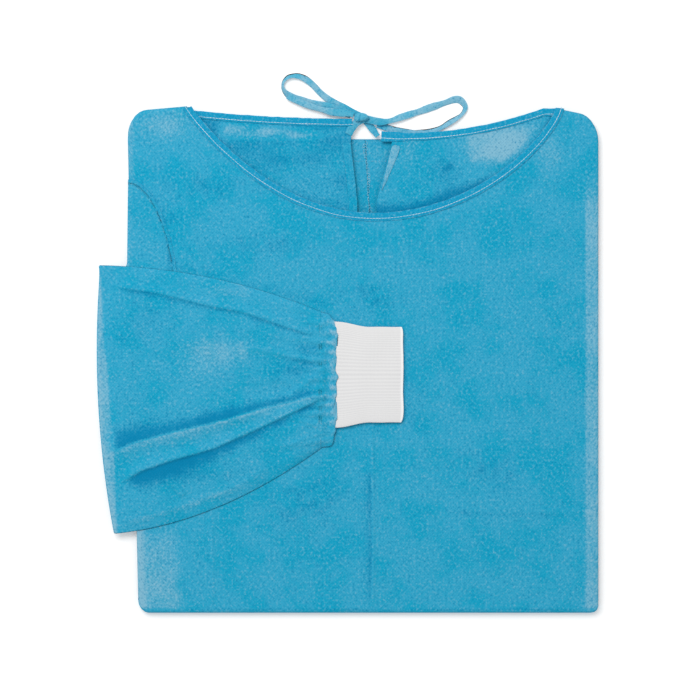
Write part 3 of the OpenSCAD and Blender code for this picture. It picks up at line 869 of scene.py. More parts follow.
# %% Back cloths
BACK_Z, BACK_LOWER_Z = 6.6, 2.1
SLIT_X = (LEFT_END + RIGHT_END) / 2 + 0.25
EDGE_LOW_Y, EDGE_HIGH_Y = (corner[1] for corner in node_box("back_facing_left"))
LEFT_EDGE = [(BOTTOM_Y, SLIT_X - 7), (EDGE_LOW_Y, SLIT_X - 10), (EDGE_HIGH_Y, SLIT_X - 16.9),
             (TOP_Y, SLIT_X - 15.5)]
RIGHT_EDGE = [(BOTTOM_Y, SLIT_X + 3), (EDGE_LOW_Y, SLIT_X + 10), (EDGE_HIGH_Y, SLIT_X + 26.1),
              (TOP_Y, SLIT_X + 27)]


def edge_x(edge, y):
    return np.interp(y, [p[0] for p in edge], [p[1] for p in edge])


def meet_x(y):
    """Where the two lower back edges meet."""
    low_y = EDGE_LOW_Y - 12
    return SLIT_X + 3 - 5 * np.clip((y - low_y) / (HEM_Y - low_y), 0, 1)


def back_relief(x, y, seed):
    height = 0.30 * waves(x, y, 80, seed) + 0.14 * waves(x, y, 26, seed + 1)
    return height * np.clip((FRONT_Z - 1.2 - BACK_Z) / 1.5, 0, 1)


def back_cloth(name, is_left, nodes, tones):
    share = np.sort(np.concatenate([np.linspace(0, 1, 72), [0.004, 0.009, 0.991, 0.996]]))
    outer = side_x if is_left else (lambda y: RIGHT_X + 0 * y)
    edge = LEFT_EDGE if is_left else RIGHT_EDGE
    x_top = outer(np.array(TOP_Y - 30)) if is_left else RIGHT_X
    x_top = x_top + share * (edge_x(edge, TOP_Y - 20) - x_top)
    neck = back_left_y(x_top) if is_left else back_right_y(x_top)
    in_neck = (x_top > NECK_LEFT) if is_left else (x_top < NECK_RIGHT)
    top = np.where(in_neck, neck - 4.0, shoulder_y(x_top) - 0.8)
    from_side = np.abs(x_top - (LEFT_X if is_left else RIGHT_X))
    top = top - round_off(from_side, 20, LEFT_SHOULDER_DROP if is_left else RIGHT_SHOULDER_DROP)
    low = BOTTOM_Y + 1.5 + round_off(from_side, LEFT_LOW_ROUND if is_left else RIGHT_LOW_ROUND)
    fold_y, fold_z = fold_rows(BACK_FOLD, BACK_LOWER_Z, BACK_Z, 8)
    under = HEM_Y + (low + BACK_FOLD - HEM_Y) * np.linspace(0, 1, 84)[:-1, None]
    over = (low + BACK_FOLD) + (top - low - BACK_FOLD) * np.linspace(0, 1, 150)[1:, None]
    y = np.concatenate([under, low + fold_y[:, None], over])
    base = np.concatenate([np.full(len(under), BACK_LOWER_Z), fold_z,
                           np.full(len(over), BACK_Z)])
    upness = ((base - BACK_LOWER_Z) / (BACK_Z - BACK_LOWER_Z))[:, None]
    gap = -0.2 if is_left else 0.2
    inner = edge_x(edge, y) * upness + (meet_x(y) + gap) * (1 - upness)
    start = outer(y) + (0.9 if is_left else -0.9) * (1 + 1.4 * (1 - upness))
    x = start + share[None, :] * (inner - start)
    z = np.broadcast_to(base[:, None], y.shape).copy()
    is_over = upness > 0.999
    seed = 21 if is_left else 31
    z = z + np.where(is_over, back_relief(x, y, seed), 0)
    hem = 0.30 * ease((y - HEM_Y + 24) / 2.5) - 0.12 + 0.10 * waves(x, y, 18, seed + 5)
    tone = np.where(is_over, tones(x, y) * ease((y - 30) / 90), hem)
    grid = np.stack([x, y, z], axis=2)
    piece = cloth_piece(name, grid, CLOTH_THICK, CLOTH, tone,
                        flat_from_fold(grid, len(under) + 3))
    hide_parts(*nodes)
    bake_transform(piece)
    return piece


def left_back_tone(x, y):
    """Painted shade, deep under the front's neck binding, and painted light, pale where one ply
    lies alone over the light table.
    """
    tone = -0.42 + 0.22 * spot(x, y, (-40, 190), (55, 32)) + 0.10 * waves(x, y, 26, 42)
    place = (x + 131) / 111
    band = np.exp(-(((y - (241 - 5 * place)) / (9.5 - 5 * place)) ** 2) ** 2)
    band = band * (0.85 + 0.25 * waves(x, y * 3, 30, 44))
    tone = tone + 0.92 * band * ease((x + 138) / 12) * ease((-14 - x) / 50)
    tone = tone + 0.22 * ridge(x, y, [(-70, 233), (-30, 236), (-4, 239)], 1, 2.5)
    return np.clip(tone, -0.7, 0.8)


def right_back_tone(x, y):
    # Painted light: pale spots where one ply lies over the light table.
    tone = -0.16 + 0.98 * spot(x, y, (163, 225), (54, 30)) + 0.45 * spot(x, y, (70, 216), (18, 30))
    patch = spot(x, y, (104, 205), (26, 22)) * (1 + 0.5 * waves(x, y, 13, 46))
    tone = tone - 0.40 * patch + 0.10 * waves(x, y, 22, 43)
    # Painted shade along the inside of the front neckline.
    tone = tone - 0.45 * ease((14 - (y - front_neck_y(x, 0))) / 12)
    return np.clip(tone, -0.7, 0.85)


back_left = back_cloth("back_cloth_left", True,
                       ["back_panel_left_upper", "back_panel_left_lower"], left_back_tone)
back_right = back_cloth("back_cloth_right", False,
                        ["back_panel_right_upper", "back_panel_right_lower"], right_back_tone)
print("back cloths made")

# %% [markdown]
# Bindings, strips and seams
#
# A binding is a strip of cloth folded over the raw edge of the neckline and sewn through.
# Its section is a flat oval with one sharp fold, and the thread pulls it into small
# puckers. Seams and the turned strips of the back edges are swept along a path the same
# way, so one function makes them all.

# %% Swept strips
BACK_BINDING_Z = 7.0


def swept_strip(node, kind, path, width, height, material, seed, tone, taper=((0, 1), (1, 1)),
                edge_highlight=0.25):
    """A flattened oval strip along a path, with small puckers along its length."""
    path = np.asarray(path, float)
    lengths, share = path_share(path)
    angle = np.linspace(0, 2 * math.pi, 18, endpoint=False)
    wide = np.sign(np.cos(angle)) * np.abs(np.cos(angle)) ** 0.6 * width / 2
    tall = np.sign(np.sin(angle)) * np.abs(np.sin(angle)) ** 0.7 * height / 2
    scale = np.interp(share, *zip(*taper))
    swell = 1 + 0.12 * waves(lengths, 0, 5.5, seed)
    wander = 0.25 * waves(lengths, 0, 14, seed + 1)
    grid = sweep(path, tape_frame(path, 0 * share),
                 wide[None, :] * scale[:, None] + wander[:, None], tall[None, :] * swell[:, None])
    # Random tone along the strip, the tone given for it, and a painted highlight along both of its
    # edges.
    shade = 0.12 * waves(lengths, 0, 9, seed + 2)[:, None] + 0 * wide[None, :]
    shade = shade + tone + edge_highlight * np.abs(np.cos(angle))[None, :] ** 8
    piece = tube_piece(f"{node}_{kind}", grid, material, shade, flat_strip(lengths, wide))
    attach(piece, "upper_half")
    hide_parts(node)


def at_height(line, z):
    """A flat line lifted to a height."""
    return np.column_stack([np.asarray(line, float), np.full(len(line), z)])


def back_line(is_left, drop, count=150):
    x = np.linspace(NECK_LEFT + 0.5, LEFT_END, count) if is_left else \
        np.linspace(RIGHT_END, NECK_RIGHT + 6, count)
    y = back_left_y(x) if is_left else back_right_y(x)
    return np.stack([x, y - drop], axis=1)


swept_strip("neck_binding_front", "strip", at_height(front_neckline(4.5, 260), FRONT_Z + 0.45),
            9.2, 1.5, BINDING, 51, -0.06, edge_highlight=0.6)
swept_strip("neck_binding_back_left", "strip", at_height(back_line(True, 4), BACK_BINDING_Z),
            8.2, 1.5, BINDING, 54, -0.16)
swept_strip("neck_binding_back_right", "strip", at_height(back_line(False, 4), BACK_BINDING_Z),
            8.2, 1.5, BINDING, 57, 0.0, [(0, 1.35), (0.08, 1.25), (0.16, 1.0), (1, 1.0)])
print("bindings made")

# %% Strips of the back edges
edge_y = np.linspace(BOTTOM_Y + 20, EDGE_HIGH_Y + 2, 120)
edge_line = np.stack([edge_x(LEFT_EDGE, edge_y) - 4.6, edge_y], 1)
swept_strip("back_facing_left", "strip", at_height(edge_line, 7.15), 9.0, 0.5, CLOTH, 61, -0.24,
            edge_highlight=0.08)
loose_top = np.array([SLIT_X + 31.5, EDGE_HIGH_Y - 1.0])
loose_tip = np.array([SLIT_X + 15.6, EDGE_HIGH_Y - 48.0])
loose_line = loose_top + (loose_tip - loose_top) * np.linspace(0, 1, 50)[:, None]
swept_strip("back_facing_right", "strip", at_height(loose_line, 7.3), 8.6, 0.6, CLOTH, 64, 0.5,
            [(0, 0.55), (0.04, 0.95), (0.12, 1.0), (0.6, 0.55), (1, 0.06)])

# %% Seams of shoulders and armholes
ARM_Y, ARM_REACH, ARM_HALF = TOP_Y - 221.5, 52.0, 141.0


def armhole_line(spread, count=120):
    angle = np.linspace(math.pi / 2 - 0.02, -math.pi / 2 + 0.02, count)
    return np.stack([LEFT_X + (ARM_REACH + spread) * np.cos(angle),
                     ARM_Y + (ARM_HALF + spread) * np.sin(angle)], axis=1)


# The armhole ridge's tone of -0.25 is painted shade along the seam.
swept_strip("armhole_seam_left", "ridge", at_height(armhole_line(1.5), 9.72), 3.4, 0.9, CLOTH,
            71, -0.25, edge_highlight=0.0)
seam_low, seam_high = node_box("armhole_seam_right")
seam_x, _, seam_z = (seam_low + seam_high) / 2
seam_y = np.linspace(seam_low[1], seam_high[1], 90)
swept_strip("armhole_seam_right", "ridge", at_height(np.stack([0 * seam_y + seam_x, seam_y], 1),
            seam_z), 3.0, 2.2, CLOTH, 74, -0.05)
for side, start, end in (
    ("left", (NECK_LEFT - 10, TOP_Y - 6.5), (LEFT_X + 15, TOP_Y - 10.5)),
    ("right", (NECK_RIGHT + 10, TOP_Y - 9.5), (RIGHT_X - 15, TOP_Y - 16.0)),
):
    swept_strip(f"shoulder_seam_{side}", "ridge", at_height(np.linspace(start, end, 30), 7.9),
                5.0, 1.2, CLOTH, 77, -0.05)
print("seams made")

# %% [markdown]
# The sleeve
#
# The sleeve is a flat tube. It leaves the armhole to the left, is folded back over the
# front, and is gathered into a narrow band at the wrist. It is made as one tube of rings
# that run round both plies, along the path armhole, fold, wrist. Pleats are folds that the
# gathers at the wrist send up the sleeve: raised bands with one soft and one sharp side.
# The left sleeve is thick and puffed, and the right one, tucked away, is pressed flatter.

# %% Sleeve outline
sleeve_low, sleeve_high = node_box("left_sleeve")
FOLD_X = sleeve_low[0]
SLEEVE_LOW, SLEEVE_TOP = sleeve_low[1], sleeve_high[1]
WRIST_X = sleeve_high[0]
WRIST_TOP, WRIST_LOW = SLEEVE_TOP - 49.0, SLEEVE_LOW + 90.0
ROOT_Z, SLEEVE_Z = 9.82, 10.95
BEND_Z, BEND_HALF = 10.2, 0.03
HINGE_X, HINGE_Y = -264.5, -0.042
PLY_GAP = 700
LEFT_BODY, RIGHT_BODY = (0.8, 1.7), (0.75, 0.3)


def lean_curve(a, b, c, t):
    a, b, c = (np.array(p, float) for p in (a, b, c))
    t = np.asarray(t)[..., None]
    return (1 - t) ** 2 * a + 2 * t * (1 - t) * b + t * t * c


def sleeve_place(s, v):
    """A point of the folded-over sleeve: s from fold to wrist, v from its top to its low edge."""
    top = lean_curve((FOLD_X + 6, SLEEVE_TOP), (FOLD_X + 124.5, SLEEVE_TOP - 2),
                     (WRIST_X, WRIST_TOP), s)
    low = lean_curve((FOLD_X + 20, SLEEVE_LOW), (FOLD_X + 127, SLEEVE_LOW + 10),
                     (WRIST_X, WRIST_LOW), s)
    point = top + (low - top) * v[..., None]
    bow = lean_curve((0, 0), (-19, 0), (0, 0), v)[..., 0]
    sharp = -5.0 * np.exp(-v * 40)
    return point[..., 0] + (bow + 0.4 * sharp) * (1 - s) ** 2, point[..., 1]


BAND_TOP = [(-252, -100), (-225, -88), (-188, -78), (-130, -64), (-87, -51), (-50, -42),
            (-24, -35)]
BAND_LOW = [(-238, -129), (-216, -116), (-184, -105), (-141, -93), (-98, -74), (-66, -59),
            (-24, -39)]
TOP_PLEAT = [(-248, 78), (-195, 70), (-143, 57), (-109, 51), (-66, 36), (-32, 25)]
LOW_STRIP = [(-240, -174), (-205, -164), (-165, -152), (-120, -136), (-80, -114)]
PLEATS = [
    (TOP_PLEAT, 1.8, 6.0, 2.4),
    ([(-150, 88), (-103, 74), (-60, 62), (-30, 50)], 0.6, 6.0, 6.0),
    ([(-104, 13), (-66, 5), (-30, -2)], 1.0, 4.0, 3.0),
    (BAND_TOP, 2.2, 10.0, 9.0),
    (BAND_LOW, 2.3, 7.0, 1.8),
    ([(-190, -124), (-181, -133), (-172, -144)], 1.2, 7.0, 2.5),
    (LOW_STRIP, 1.0, 5.0, 4.0),
    ([(-60, -62), (-40, -66), (-24, -73)], 1.0, 3.0, 2.0),
    ([(-62, -90), (-42, -82), (-24, -78)], 0.9, 3.0, 2.5),
    ([(-64, -40), (-42, -24), (-24, -10)], 1.0, 3.0, 3.5),
    ([(-70, -20), (-50, -30), (-40, -40)], 0.6, 3.0, 3.0),
]


def gathers(y, x, reach, seed):
    """Many small folds that fan out from the wrist and die away over reach millimetres."""
    fan = (y - (WRIST_TOP + WRIST_LOW) / 2) / (1 + (WRIST_X - x) / 420)
    fine = np.sin(fan * 2 * math.pi / 9.5 + 1.4 * waves(fan, 0, 40, seed))
    return (0.5 + 0.5 * fine) * np.exp(-np.clip(WRIST_X - x, 0, None) / reach)


def sleeve_relief(x, y, height=1.0):
    rise = 0.45 * waves(x, y, 75, 81) + 0.18 * waves(x, y, 24, 82)
    for line, up, left, right in PLEATS:
        rise = rise + ridge(x, y, line, up, left, right, fade=0.1)
    return (rise + 0.9 * gathers(y, x, 18, 83) + 0.9 * gathers(0.55 * y, x, 55, 84)) * height


def sleeve_tone(x, y, s):
    tone = 0.08 * waves(x, y, 60, 91) + 0.06 * waves(x, y, 20, 92)
    # Painted highlight along the top of each pleat.
    for line, up, _, _ in PLEATS:
        gap, _, share = from_line(x, y, line)
        ends = np.clip(share / 0.1, 0, 1) * np.clip((1 - share) / 0.1, 0, 1)
        tone = tone + 0.13 * up * np.exp(-((gap / 2.4) ** 2)) * ends
    # Painted shade in the valleys beside the pleats and under the overhanging band, and painted
    # light on the band itself.
    widen = 0.45 + 0.75 * np.clip((-20 - x) / 210, 0, 1)
    tone = tone - 0.80 * beside(x, y, BAND_TOP, 15 * widen, above=True)
    tone = tone + 0.24 * beside(x, y, BAND_TOP, 12 * widen, above=False)
    tone = tone - 0.78 * beside(x, y, BAND_LOW, 16 * widen, above=False)
    tone = tone - 0.58 * beside(x, y, TOP_PLEAT, 6.5, above=False)
    tone = tone - 0.30 * beside(x, y, [(-104, 13), (-66, 5), (-30, -2)], 5, above=False)
    # Broad patches of painted light and painted shade over the sleeve's swells and hollows.
    tone = tone + 0.34 * spot(x, y, (-143, 6), (42, 30)) + 0.22 * spot(x, y, (-118, 72), (40, 10))
    tone = tone - 0.28 * spot(x, y, (-150, -122), (62, 12))
    tone = tone - 0.25 * spot(x, y, (-210, 40), (26, 26))
    tone = tone - 0.34 * spot(x, y, (-60, -12), (34, 12)) - 0.38 * spot(x, y, (-41, 9), (18, 8))
    # Painted light along the low strip and on the tops of the gathers, and painted shade towards
    # the wrist.
    tone = tone + 0.16 * np.exp(-(from_line(x, y, LOW_STRIP)[0] / 6) ** 2)
    tone = tone + 0.25 * gathers(y, x, 10, 83) + 0.22 * gathers(0.55 * y, x, 50, 84)
    tone = tone - 0.12 * ease((s - 0.82) / 0.15)
    # Painted light in a strip along the sleeve's fold.
    strip = np.interp(y, [-190, -115, 75, 100], [-241, -243, -258, -262]) - x
    tone = tone + 0.46 * ease(strip / 4 + 0.5) + 0.2 * ease(1 - s / 0.03)
    return np.clip(tone, -0.8, 0.85)


def flattened(v, half, sharpness=7):
    """Half the thickness of a flat tube across its width, with round edges."""
    return half * np.sqrt(np.clip(1 - np.abs(2 * v - 1) ** sharpness, 0, 1))


def sleeve_skin(x, y, s, v, relief, half_z, puff):
    """Heights of the lower and the upper ply of the folded-over sleeve."""
    half = half_z * (0.32 + 0.68 * ease(s / 0.16) + 0.35 * ease((s - 0.8) / 0.15))
    edge_shape = flattened(v, 1.0)
    crown = (1 - np.abs(2 * v - 1) ** 2.6) * puff * ease(s / 0.10) * ease((1.15 - s) / 0.35)
    lift = (np.clip(relief(x, y), -0.4, None) + crown) * edge_shape * ease(s / 0.05)
    droop = 0.62 * np.abs(2 * v - 1) ** 10 * ease(s / 0.12)
    wedge = np.clip(1 - np.abs(2 * v - 1) ** 16, 0, 1) ** 0.8
    return SLEEVE_Z - droop, SLEEVE_Z - droop + 0.1 * edge_shape + (2 * half + lift) * wedge


def two_plies(outer, inner):
    """Places round a flat tube, and 1 on its outer ply and -1 on its inner ply."""
    ply = np.concatenate([np.ones(len(outer)), -np.ones(len(inner))])
    return np.concatenate([outer, inner]), ply


def as_it_lies(grid):
    return grid


def sleeve_tube(name, relief, half_z, puff, with_root, turn_over=as_it_lies):
    """The tube of the sleeve as rings: down its outer ply and back up its inner ply."""
    edge = (1 - np.cos(np.linspace(0, math.pi, 210))) / 2
    inner = (1 - np.cos(np.linspace(math.pi, 2 * math.pi, 50)[1:-1])) / 2
    v, ply = two_plies(0.35 * edge + 0.65 * np.linspace(0, 1, 210), inner)
    rows = []
    fold_x, fold_y = sleeve_place(np.zeros(len(v)), v)
    if with_root:
        arm = armhole_line(0.9, 121)
        arm = np.stack([np.interp(v, np.linspace(0, 1, 121), arm[:, k]) for k in (0, 1)], 1)
        for r in np.linspace(1, 0, 22)[:-1]:
            fold = np.stack([fold_x + 0.6, fold_y - 1.0 + 2.0 * v], 1)
            place = fold + (arm - fold) * r
            corner = np.array([LEFT_X, SLEEVE_TOP - 2.0])
            start = fold[0] + (arm[0] - fold[0]) * r
            bent = (fold[0] + (corner - fold[0]) * min(r / 0.3, 1)
                    + (arm[0] - corner) * max((r - 0.3) / 0.7, 0))
            place = place + (bent - start) * ((1 - v) ** 4)[:, None]
            half = flattened(v, 0.18) * (1 - r**6)
            z = ROOT_Z - ply * half + 0.05 * waves(place[:, 0], place[:, 1], 40, 85)
            rows.append(np.column_stack([place, z]))
        for turn in np.linspace(-math.pi / 2, -3 * math.pi / 2, 10)[1:-1]:
            radius = 0.72 + ply * flattened(v, 0.22)
            x = fold_x + 1.0 + np.cos(turn) * radius * 1.4
            z = BEND_Z + np.sin(turn) * radius * np.where(turn > -math.pi, 0.6, 1.0)
            rows.append(np.column_stack([x, fold_y - 1.0 + 2.0 * v, z]))
    bend_rows = max(len(rows) - 4, 0)
    # Painted light near the sleeve's fold and painted shade along the armhole seam.
    tone = [0.10 + 0.28 * ease((FOLD_X + 44 - row[:, 0]) / 14) * (row[:, 2] > 0)
            - 0.45 * ease(1 - np.abs(row[:, 0] - LEFT_X - 46) / 14) for row in rows]
    for s in np.concatenate([[0.004, 0.010, 0.018], np.linspace(0.03, 1, 160)]):
        x, y = sleeve_place(np.full(len(v), s), v)
        under, top = sleeve_skin(x, y, s, v, relief, half_z, puff)
        rows.append(np.column_stack([x, y, np.where(ply > 0, top, under)]))
        tone.append(sleeve_tone(x, y, s) * np.where(ply > 0, 1.0, 0.4))
    grid = np.array(rows)
    spread = grid[..., 0].copy()
    spread[bend_rows:] = 2 * HINGE_X - spread[bend_rows:]
    flat = np.stack([spread + PLY_GAP * (ply < 0), grid[..., 1]], axis=2)
    return tube_piece(name, turn_over(grid), CLOTH, np.array(tone), flat,
                      zip_start=with_root)


left_sleeve = sleeve_tube("left_sleeve_cloth", sleeve_relief, *LEFT_BODY, True)
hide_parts("left_sleeve", "left_sleeve_root")
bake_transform(left_sleeve)
print("left sleeve:", len(left_sleeve.data.polygons), "faces")

# %% [markdown]
# Wrist band and knitted cuff
#
# At the wrist the wide sleeve is drawn in with an overlock seam, so the band is a row of
# small, tight folds. The cuff is a tube of ribbed knit, laid flat and open at the hand. Its
# ribs are real ridges in the mesh, because they catch the light along the rounded edges.

# %% Wrist band
cuff_low, cuff_high = node_box("left_cuff")
CUFF_X = cuff_low[0] - 0.3
CUFF_MID = (cuff_low[1] + cuff_high[1]) / 2
CUFF_SEAM_HALF = (cuff_high[1] - cuff_low[1]) / 2


def wrist_band(name, relief, half_z, puff, turn_over=as_it_lies):
    """The gathered end of the sleeve: it keeps its width, and curls in where the cuff starts."""
    v, ply = two_plies(np.linspace(0, 1, 170), np.linspace(1, 0, 80)[1:-1])
    rows, tone = [], []
    middle = SLEEVE_Z + 1.35
    for s in np.linspace(0, 1, 34):
        curl, own = ease((s - 0.42) / 0.58), ease((s - 0.16) / 0.35)
        top, low = WRIST_TOP - 3.5 * s, WRIST_LOW + 4.0 * s
        top = top + (CUFF_MID + CUFF_SEAM_HALF - top) * curl
        low = low + (CUFF_MID - CUFF_SEAM_HALF - low) * curl
        y = top + (low - top) * v
        bulge = 9.5 * ease((v - 0.84) / 0.1) * (1 - curl) + 1.0 * ease((0.08 - v) / 0.08)
        x = WRIST_X - 2.2 + s * (CUFF_X - WRIST_X + 3.4 + bulge * ease(s / 0.6))
        x = x + (1.5 * waves(y, 3, 15, 95) + 0.8 * waves(y, 0, 6, 96)) * s
        on_sleeve = np.minimum(x, WRIST_X)
        join_low, join_top = sleeve_skin(on_sleeve, y, 1.0, v, relief, half_z, puff)
        shape = flattened(v, 1.0, 9)
        fold = gathers(y, WRIST_X, 16, 83)
        crumple = 0.40 * waves(x, y, 8, 94) + 0.2 * waves(x, y, 4, 93)
        rise = (1.1 * fold + crumple) * (1 - 0.5 * s) * math.sin(math.pi * (0.12 + 0.70 * s))
        drop = 1.0 * np.abs(2 * v - 1) ** 10
        on_cuff = 1.25 * ease((s - 0.45) / 0.35) * (1 - 0.25 * ease((s - 0.92) / 0.08))
        over = middle - drop + shape * (1.08 + rise * 0.84 + on_cuff)
        under = middle - drop - shape * 1.35 - 0.12
        over = (join_top + 0.07) * (1 - own) + over * own
        under = (join_low - 0.12) * (1 - own) + under * own
        rows.append(np.column_stack([x, y, np.where(ply > 0, over, under)]))
        # Painted highlight on the tops of the small folds and crumples, paler where the band rises
        # onto the cuff.
        pale = 0.34 * fold - 0.06 + 0.30 * ease((s - 0.45) / 0.4) + 0.5 * crumple
        tone.append(sleeve_tone(on_sleeve, y, 1.0) * (1 - own) + pale * own)
    return tube_piece(name, turn_over(np.array(rows)), CLOTH, np.array(tone))


left_band = wrist_band("left_wrist_band", sleeve_relief, *LEFT_BODY)
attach(left_band, "sleeve")
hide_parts("left_wrist_seam")

# %% Knitted cuff
CUFF_LENGTH = cuff_high[0] - cuff_low[0]
CUFF_HALF = 50.0
CUFF_WALL = 0.7
RIB = RIB_PITCH / MM


def cuff_piece(name, low_z, half_z, node, body, turn_over=as_it_lies):
    """A flat tube with a wall: out along its outer face, back along its inner face."""
    ribs = int(round(4 * CUFF_HALF / RIB))
    columns = ribs * 5
    round_it = np.linspace(0, 2 * math.pi, columns, endpoint=False)
    across = np.sign(np.cos(round_it)) * np.abs(np.cos(round_it)) ** 0.9
    tall = np.sign(np.sin(round_it)) * np.abs(np.sin(round_it)) ** 0.32
    places = np.concatenate([np.linspace(0, 0.97, 34), [0.985, 0.995]])
    rows, flat, tone = [], [], []
    rib = np.cos(round_it * ribs)
    for wall in (0.0, 1.0):
        for s in places if wall == 0 else places[::-1]:
            narrow = ease(s * CUFF_LENGTH / 38)
            half = CUFF_SEAM_HALF + (CUFF_HALF - CUFF_SEAM_HALF) * narrow
            half = half - 0.5 * waves(s * 70, 0, 30, 98) * 0.6
            lip = 1 - round_off(np.array((1 - s) * CUFF_LENGTH), 1.2) / 1.2 * 0.25
            thick = half_z * (0.86 + 0.14 * np.sin(s * 3.0)) * lip
            bulge = 0.18 * waves(across * half, s * 70, 32, 99)
            inset = CUFF_WALL * wall
            rise = 0.05 * rib * (1 - wall)
            y = CUFF_MID + across * (half - inset + rise * np.abs(np.cos(round_it)) ** 4)
            z = low_z + half_z + tall * (thick - inset + rise) + bulge * (tall > 0) * (1 - wall)
            corner = 2.2 * np.abs(across) ** 14 * ease((s - 0.9) / 0.1)
            x = cuff_low[0] + s * CUFF_LENGTH - corner
            x = x + 0.5 * waves(across * 50, 0, 40, 97) * s - 0.8 * (1 - s) * (1 - wall)
            rows.append(np.column_stack([x, y, z]))
            flat.append(np.column_stack([0 * x + s * CUFF_LENGTH,
                                         round_it / (2 * math.pi) * ribs * RIB]))
            tone.append(np.full(columns, 0.8 * ease((s - 0.955) / 0.02)))
    grid = turn_over(np.array(rows))
    first, after = np.arange(columns), (np.arange(columns) + 1) % columns
    last = (len(grid) - 1) * columns
    seam = np.stack([first + last, after + last, after, first], axis=1)
    quads = np.concatenate([grid_quads(len(grid), columns, closed=True), seam])
    piece = make_piece(name, grid.reshape(-1, 3), quads, np.concatenate(flat),
                       np.concatenate(tone), KNIT)
    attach(piece, body)
    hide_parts(node)
    return piece


left_cuff = cuff_piece("left_cuff_knit", SLEEVE_Z - 0.35, 1.8, "left_cuff", "cuff")
print("cuff:", len(left_cuff.data.polygons), "faces")

# %% [markdown]
# The tucked right sleeve
#
# Only the left sleeve lies on top. The right one is turned under the back and is seen when
# the body is unfolded. It is the same tube, mirrored across the gown, pressed flatter and
# turned over, so one function moves all three of its pieces.

# %% Right sleeve
tucked_high = node_box("right_sleeve")[1]
MIRROR_X = tucked_high[0] + FOLD_X + 6.0
TUCKED_THINNER, TUCKED_HEIGHT = 4.4, 2.05


def tuck_under(grid):
    """Mirror a piece of the left sleeve and lay it flat between the two halves."""
    moved = grid.copy()
    moved[..., 0] = MIRROR_X - grid[..., 0]
    height = (grid[..., 2] - SLEEVE_Z) / TUCKED_THINNER
    moved[..., 2] = tucked_high[2] - 0.15 - np.clip(height, -0.02, 1.05) * TUCKED_HEIGHT
    return moved


def pressed_relief(x, y):
    return sleeve_relief(x, y, 0.55)


right_sleeve = sleeve_tube("right_sleeve_cloth", pressed_relief, *RIGHT_BODY, False, tuck_under)
right_band = wrist_band("right_wrist_band", pressed_relief, *RIGHT_BODY, tuck_under)
cuff_piece("right_cuff_knit", SLEEVE_Z - 0.1, 1.9, "right_cuff", "upper_half", tuck_under)
for piece, node in ((right_sleeve, "right_sleeve"), (right_band, "right_wrist_seam")):
    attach(piece, "upper_half")
    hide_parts(node)
print("right sleeve tucked under")

# %% [markdown]
# Thread
#
# The white thread is what the eye finds first on a blue gown. Every seam is the same small
# stitch repeated along a path, which is work for Geometry Nodes: the tree resamples the
# path at the stitch pitch, puts one short rounded stitch at each point along it, and turns
# the copies into a plain mesh. The overlock is one thread bent into loops, so its tree
# sweeps a round section along the path instead.

# %% Stitch trees
def new_tree(name, sizes):
    """An empty Geometry Nodes tree with a geometry in and out and named sizes."""
    tree = bpy.data.node_groups.new(name, "GeometryNodeTree")
    tree.interface.new_socket("Geometry", in_out="INPUT", socket_type="NodeSocketGeometry")
    for label, value in sizes.items():
        socket = tree.interface.new_socket(label, in_out="INPUT", socket_type="NodeSocketFloat")
        socket.default_value = value
    tree.interface.new_socket("Geometry", in_out="OUTPUT", socket_type="NodeSocketGeometry")
    return tree, tree.nodes.new("NodeGroupInput"), tree.nodes.new("NodeGroupOutput")


def add_node(tree, kind, links=None, values=None, settings=None):
    node = tree.nodes.new(kind)
    for key, value in (settings or {}).items():
        setattr(node, key, value)
    for key, value in (values or {}).items():
        node.inputs[key].default_value = value
    for key, source in (links or {}).items():
        tree.links.new(source, node.inputs[key])
    return node


def finish_tree(tree, end, made, thread):
    """Turn what a tree made into plain geometry with its thread's material."""
    solid = add_node(tree, "GeometryNodeRealizeInstances", {0: made.outputs[0]})
    done = add_node(tree, "GeometryNodeSetMaterial", {0: solid.outputs[0]},
                    {"Material": thread})
    tree.links.new(done.outputs[0], end.inputs[0])
    return tree


def stitch_tree(name, thread):
    sizes = {"Pitch": 3.3 * MM, "Length": 2.9 * MM, "Thickness": 0.7 * MM}
    tree, start, end = new_tree(name, sizes)
    line = add_node(tree, "GeometryNodeMeshToCurve", {0: start.outputs[0]})
    points = add_node(tree, "GeometryNodeResampleCurve",
                      {"Curve": line.outputs[0], "Length": start.outputs["Pitch"]},
                      settings={"mode": "LENGTH"})
    ahead = add_node(tree, "GeometryNodeInputTangent")
    turn = add_node(tree, "FunctionNodeAlignRotationToVector", {"Vector": ahead.outputs[0]},
                    settings={"axis": "X"})
    bead = add_node(tree, "GeometryNodeMeshUVSphere",
                    values={"Segments": 8, "Rings": 5, "Radius": 0.5})
    shape = add_node(tree, "ShaderNodeCombineXYZ",
                     {0: start.outputs["Length"], 1: start.outputs["Thickness"],
                      2: start.outputs["Thickness"]})
    copies = add_node(tree, "GeometryNodeInstanceOnPoints",
                      {"Points": points.outputs[0], "Instance": bead.outputs[0],
                       "Rotation": turn.outputs[0], "Scale": shape.outputs[0]})
    return finish_tree(tree, end, copies, thread)


def overlock_tree():
    tree, start, end = new_tree("overlock", {"Thickness": 0.55 * MM})
    line = add_node(tree, "GeometryNodeMeshToCurve", {0: start.outputs[0]})
    half = add_node(tree, "ShaderNodeMath", {0: start.outputs["Thickness"]}, {1: 0.5},
                    {"operation": "MULTIPLY"})
    section = add_node(tree, "GeometryNodeCurvePrimitiveCircle", {"Radius": half.outputs[0]},
                       {"Resolution": 6})
    tube = add_node(tree, "GeometryNodeCurveToMesh",
                    {0: line.outputs[0], 1: section.outputs[0]}, {"Fill Caps": True})
    return finish_tree(tree, end, tube, SEAM_THREAD)


STITCHES = stitch_tree("neck_stitches", THREAD)
HEM_STITCHES = stitch_tree("hem_stitches", SEAM_THREAD)
OVERLOCK = overlock_tree()


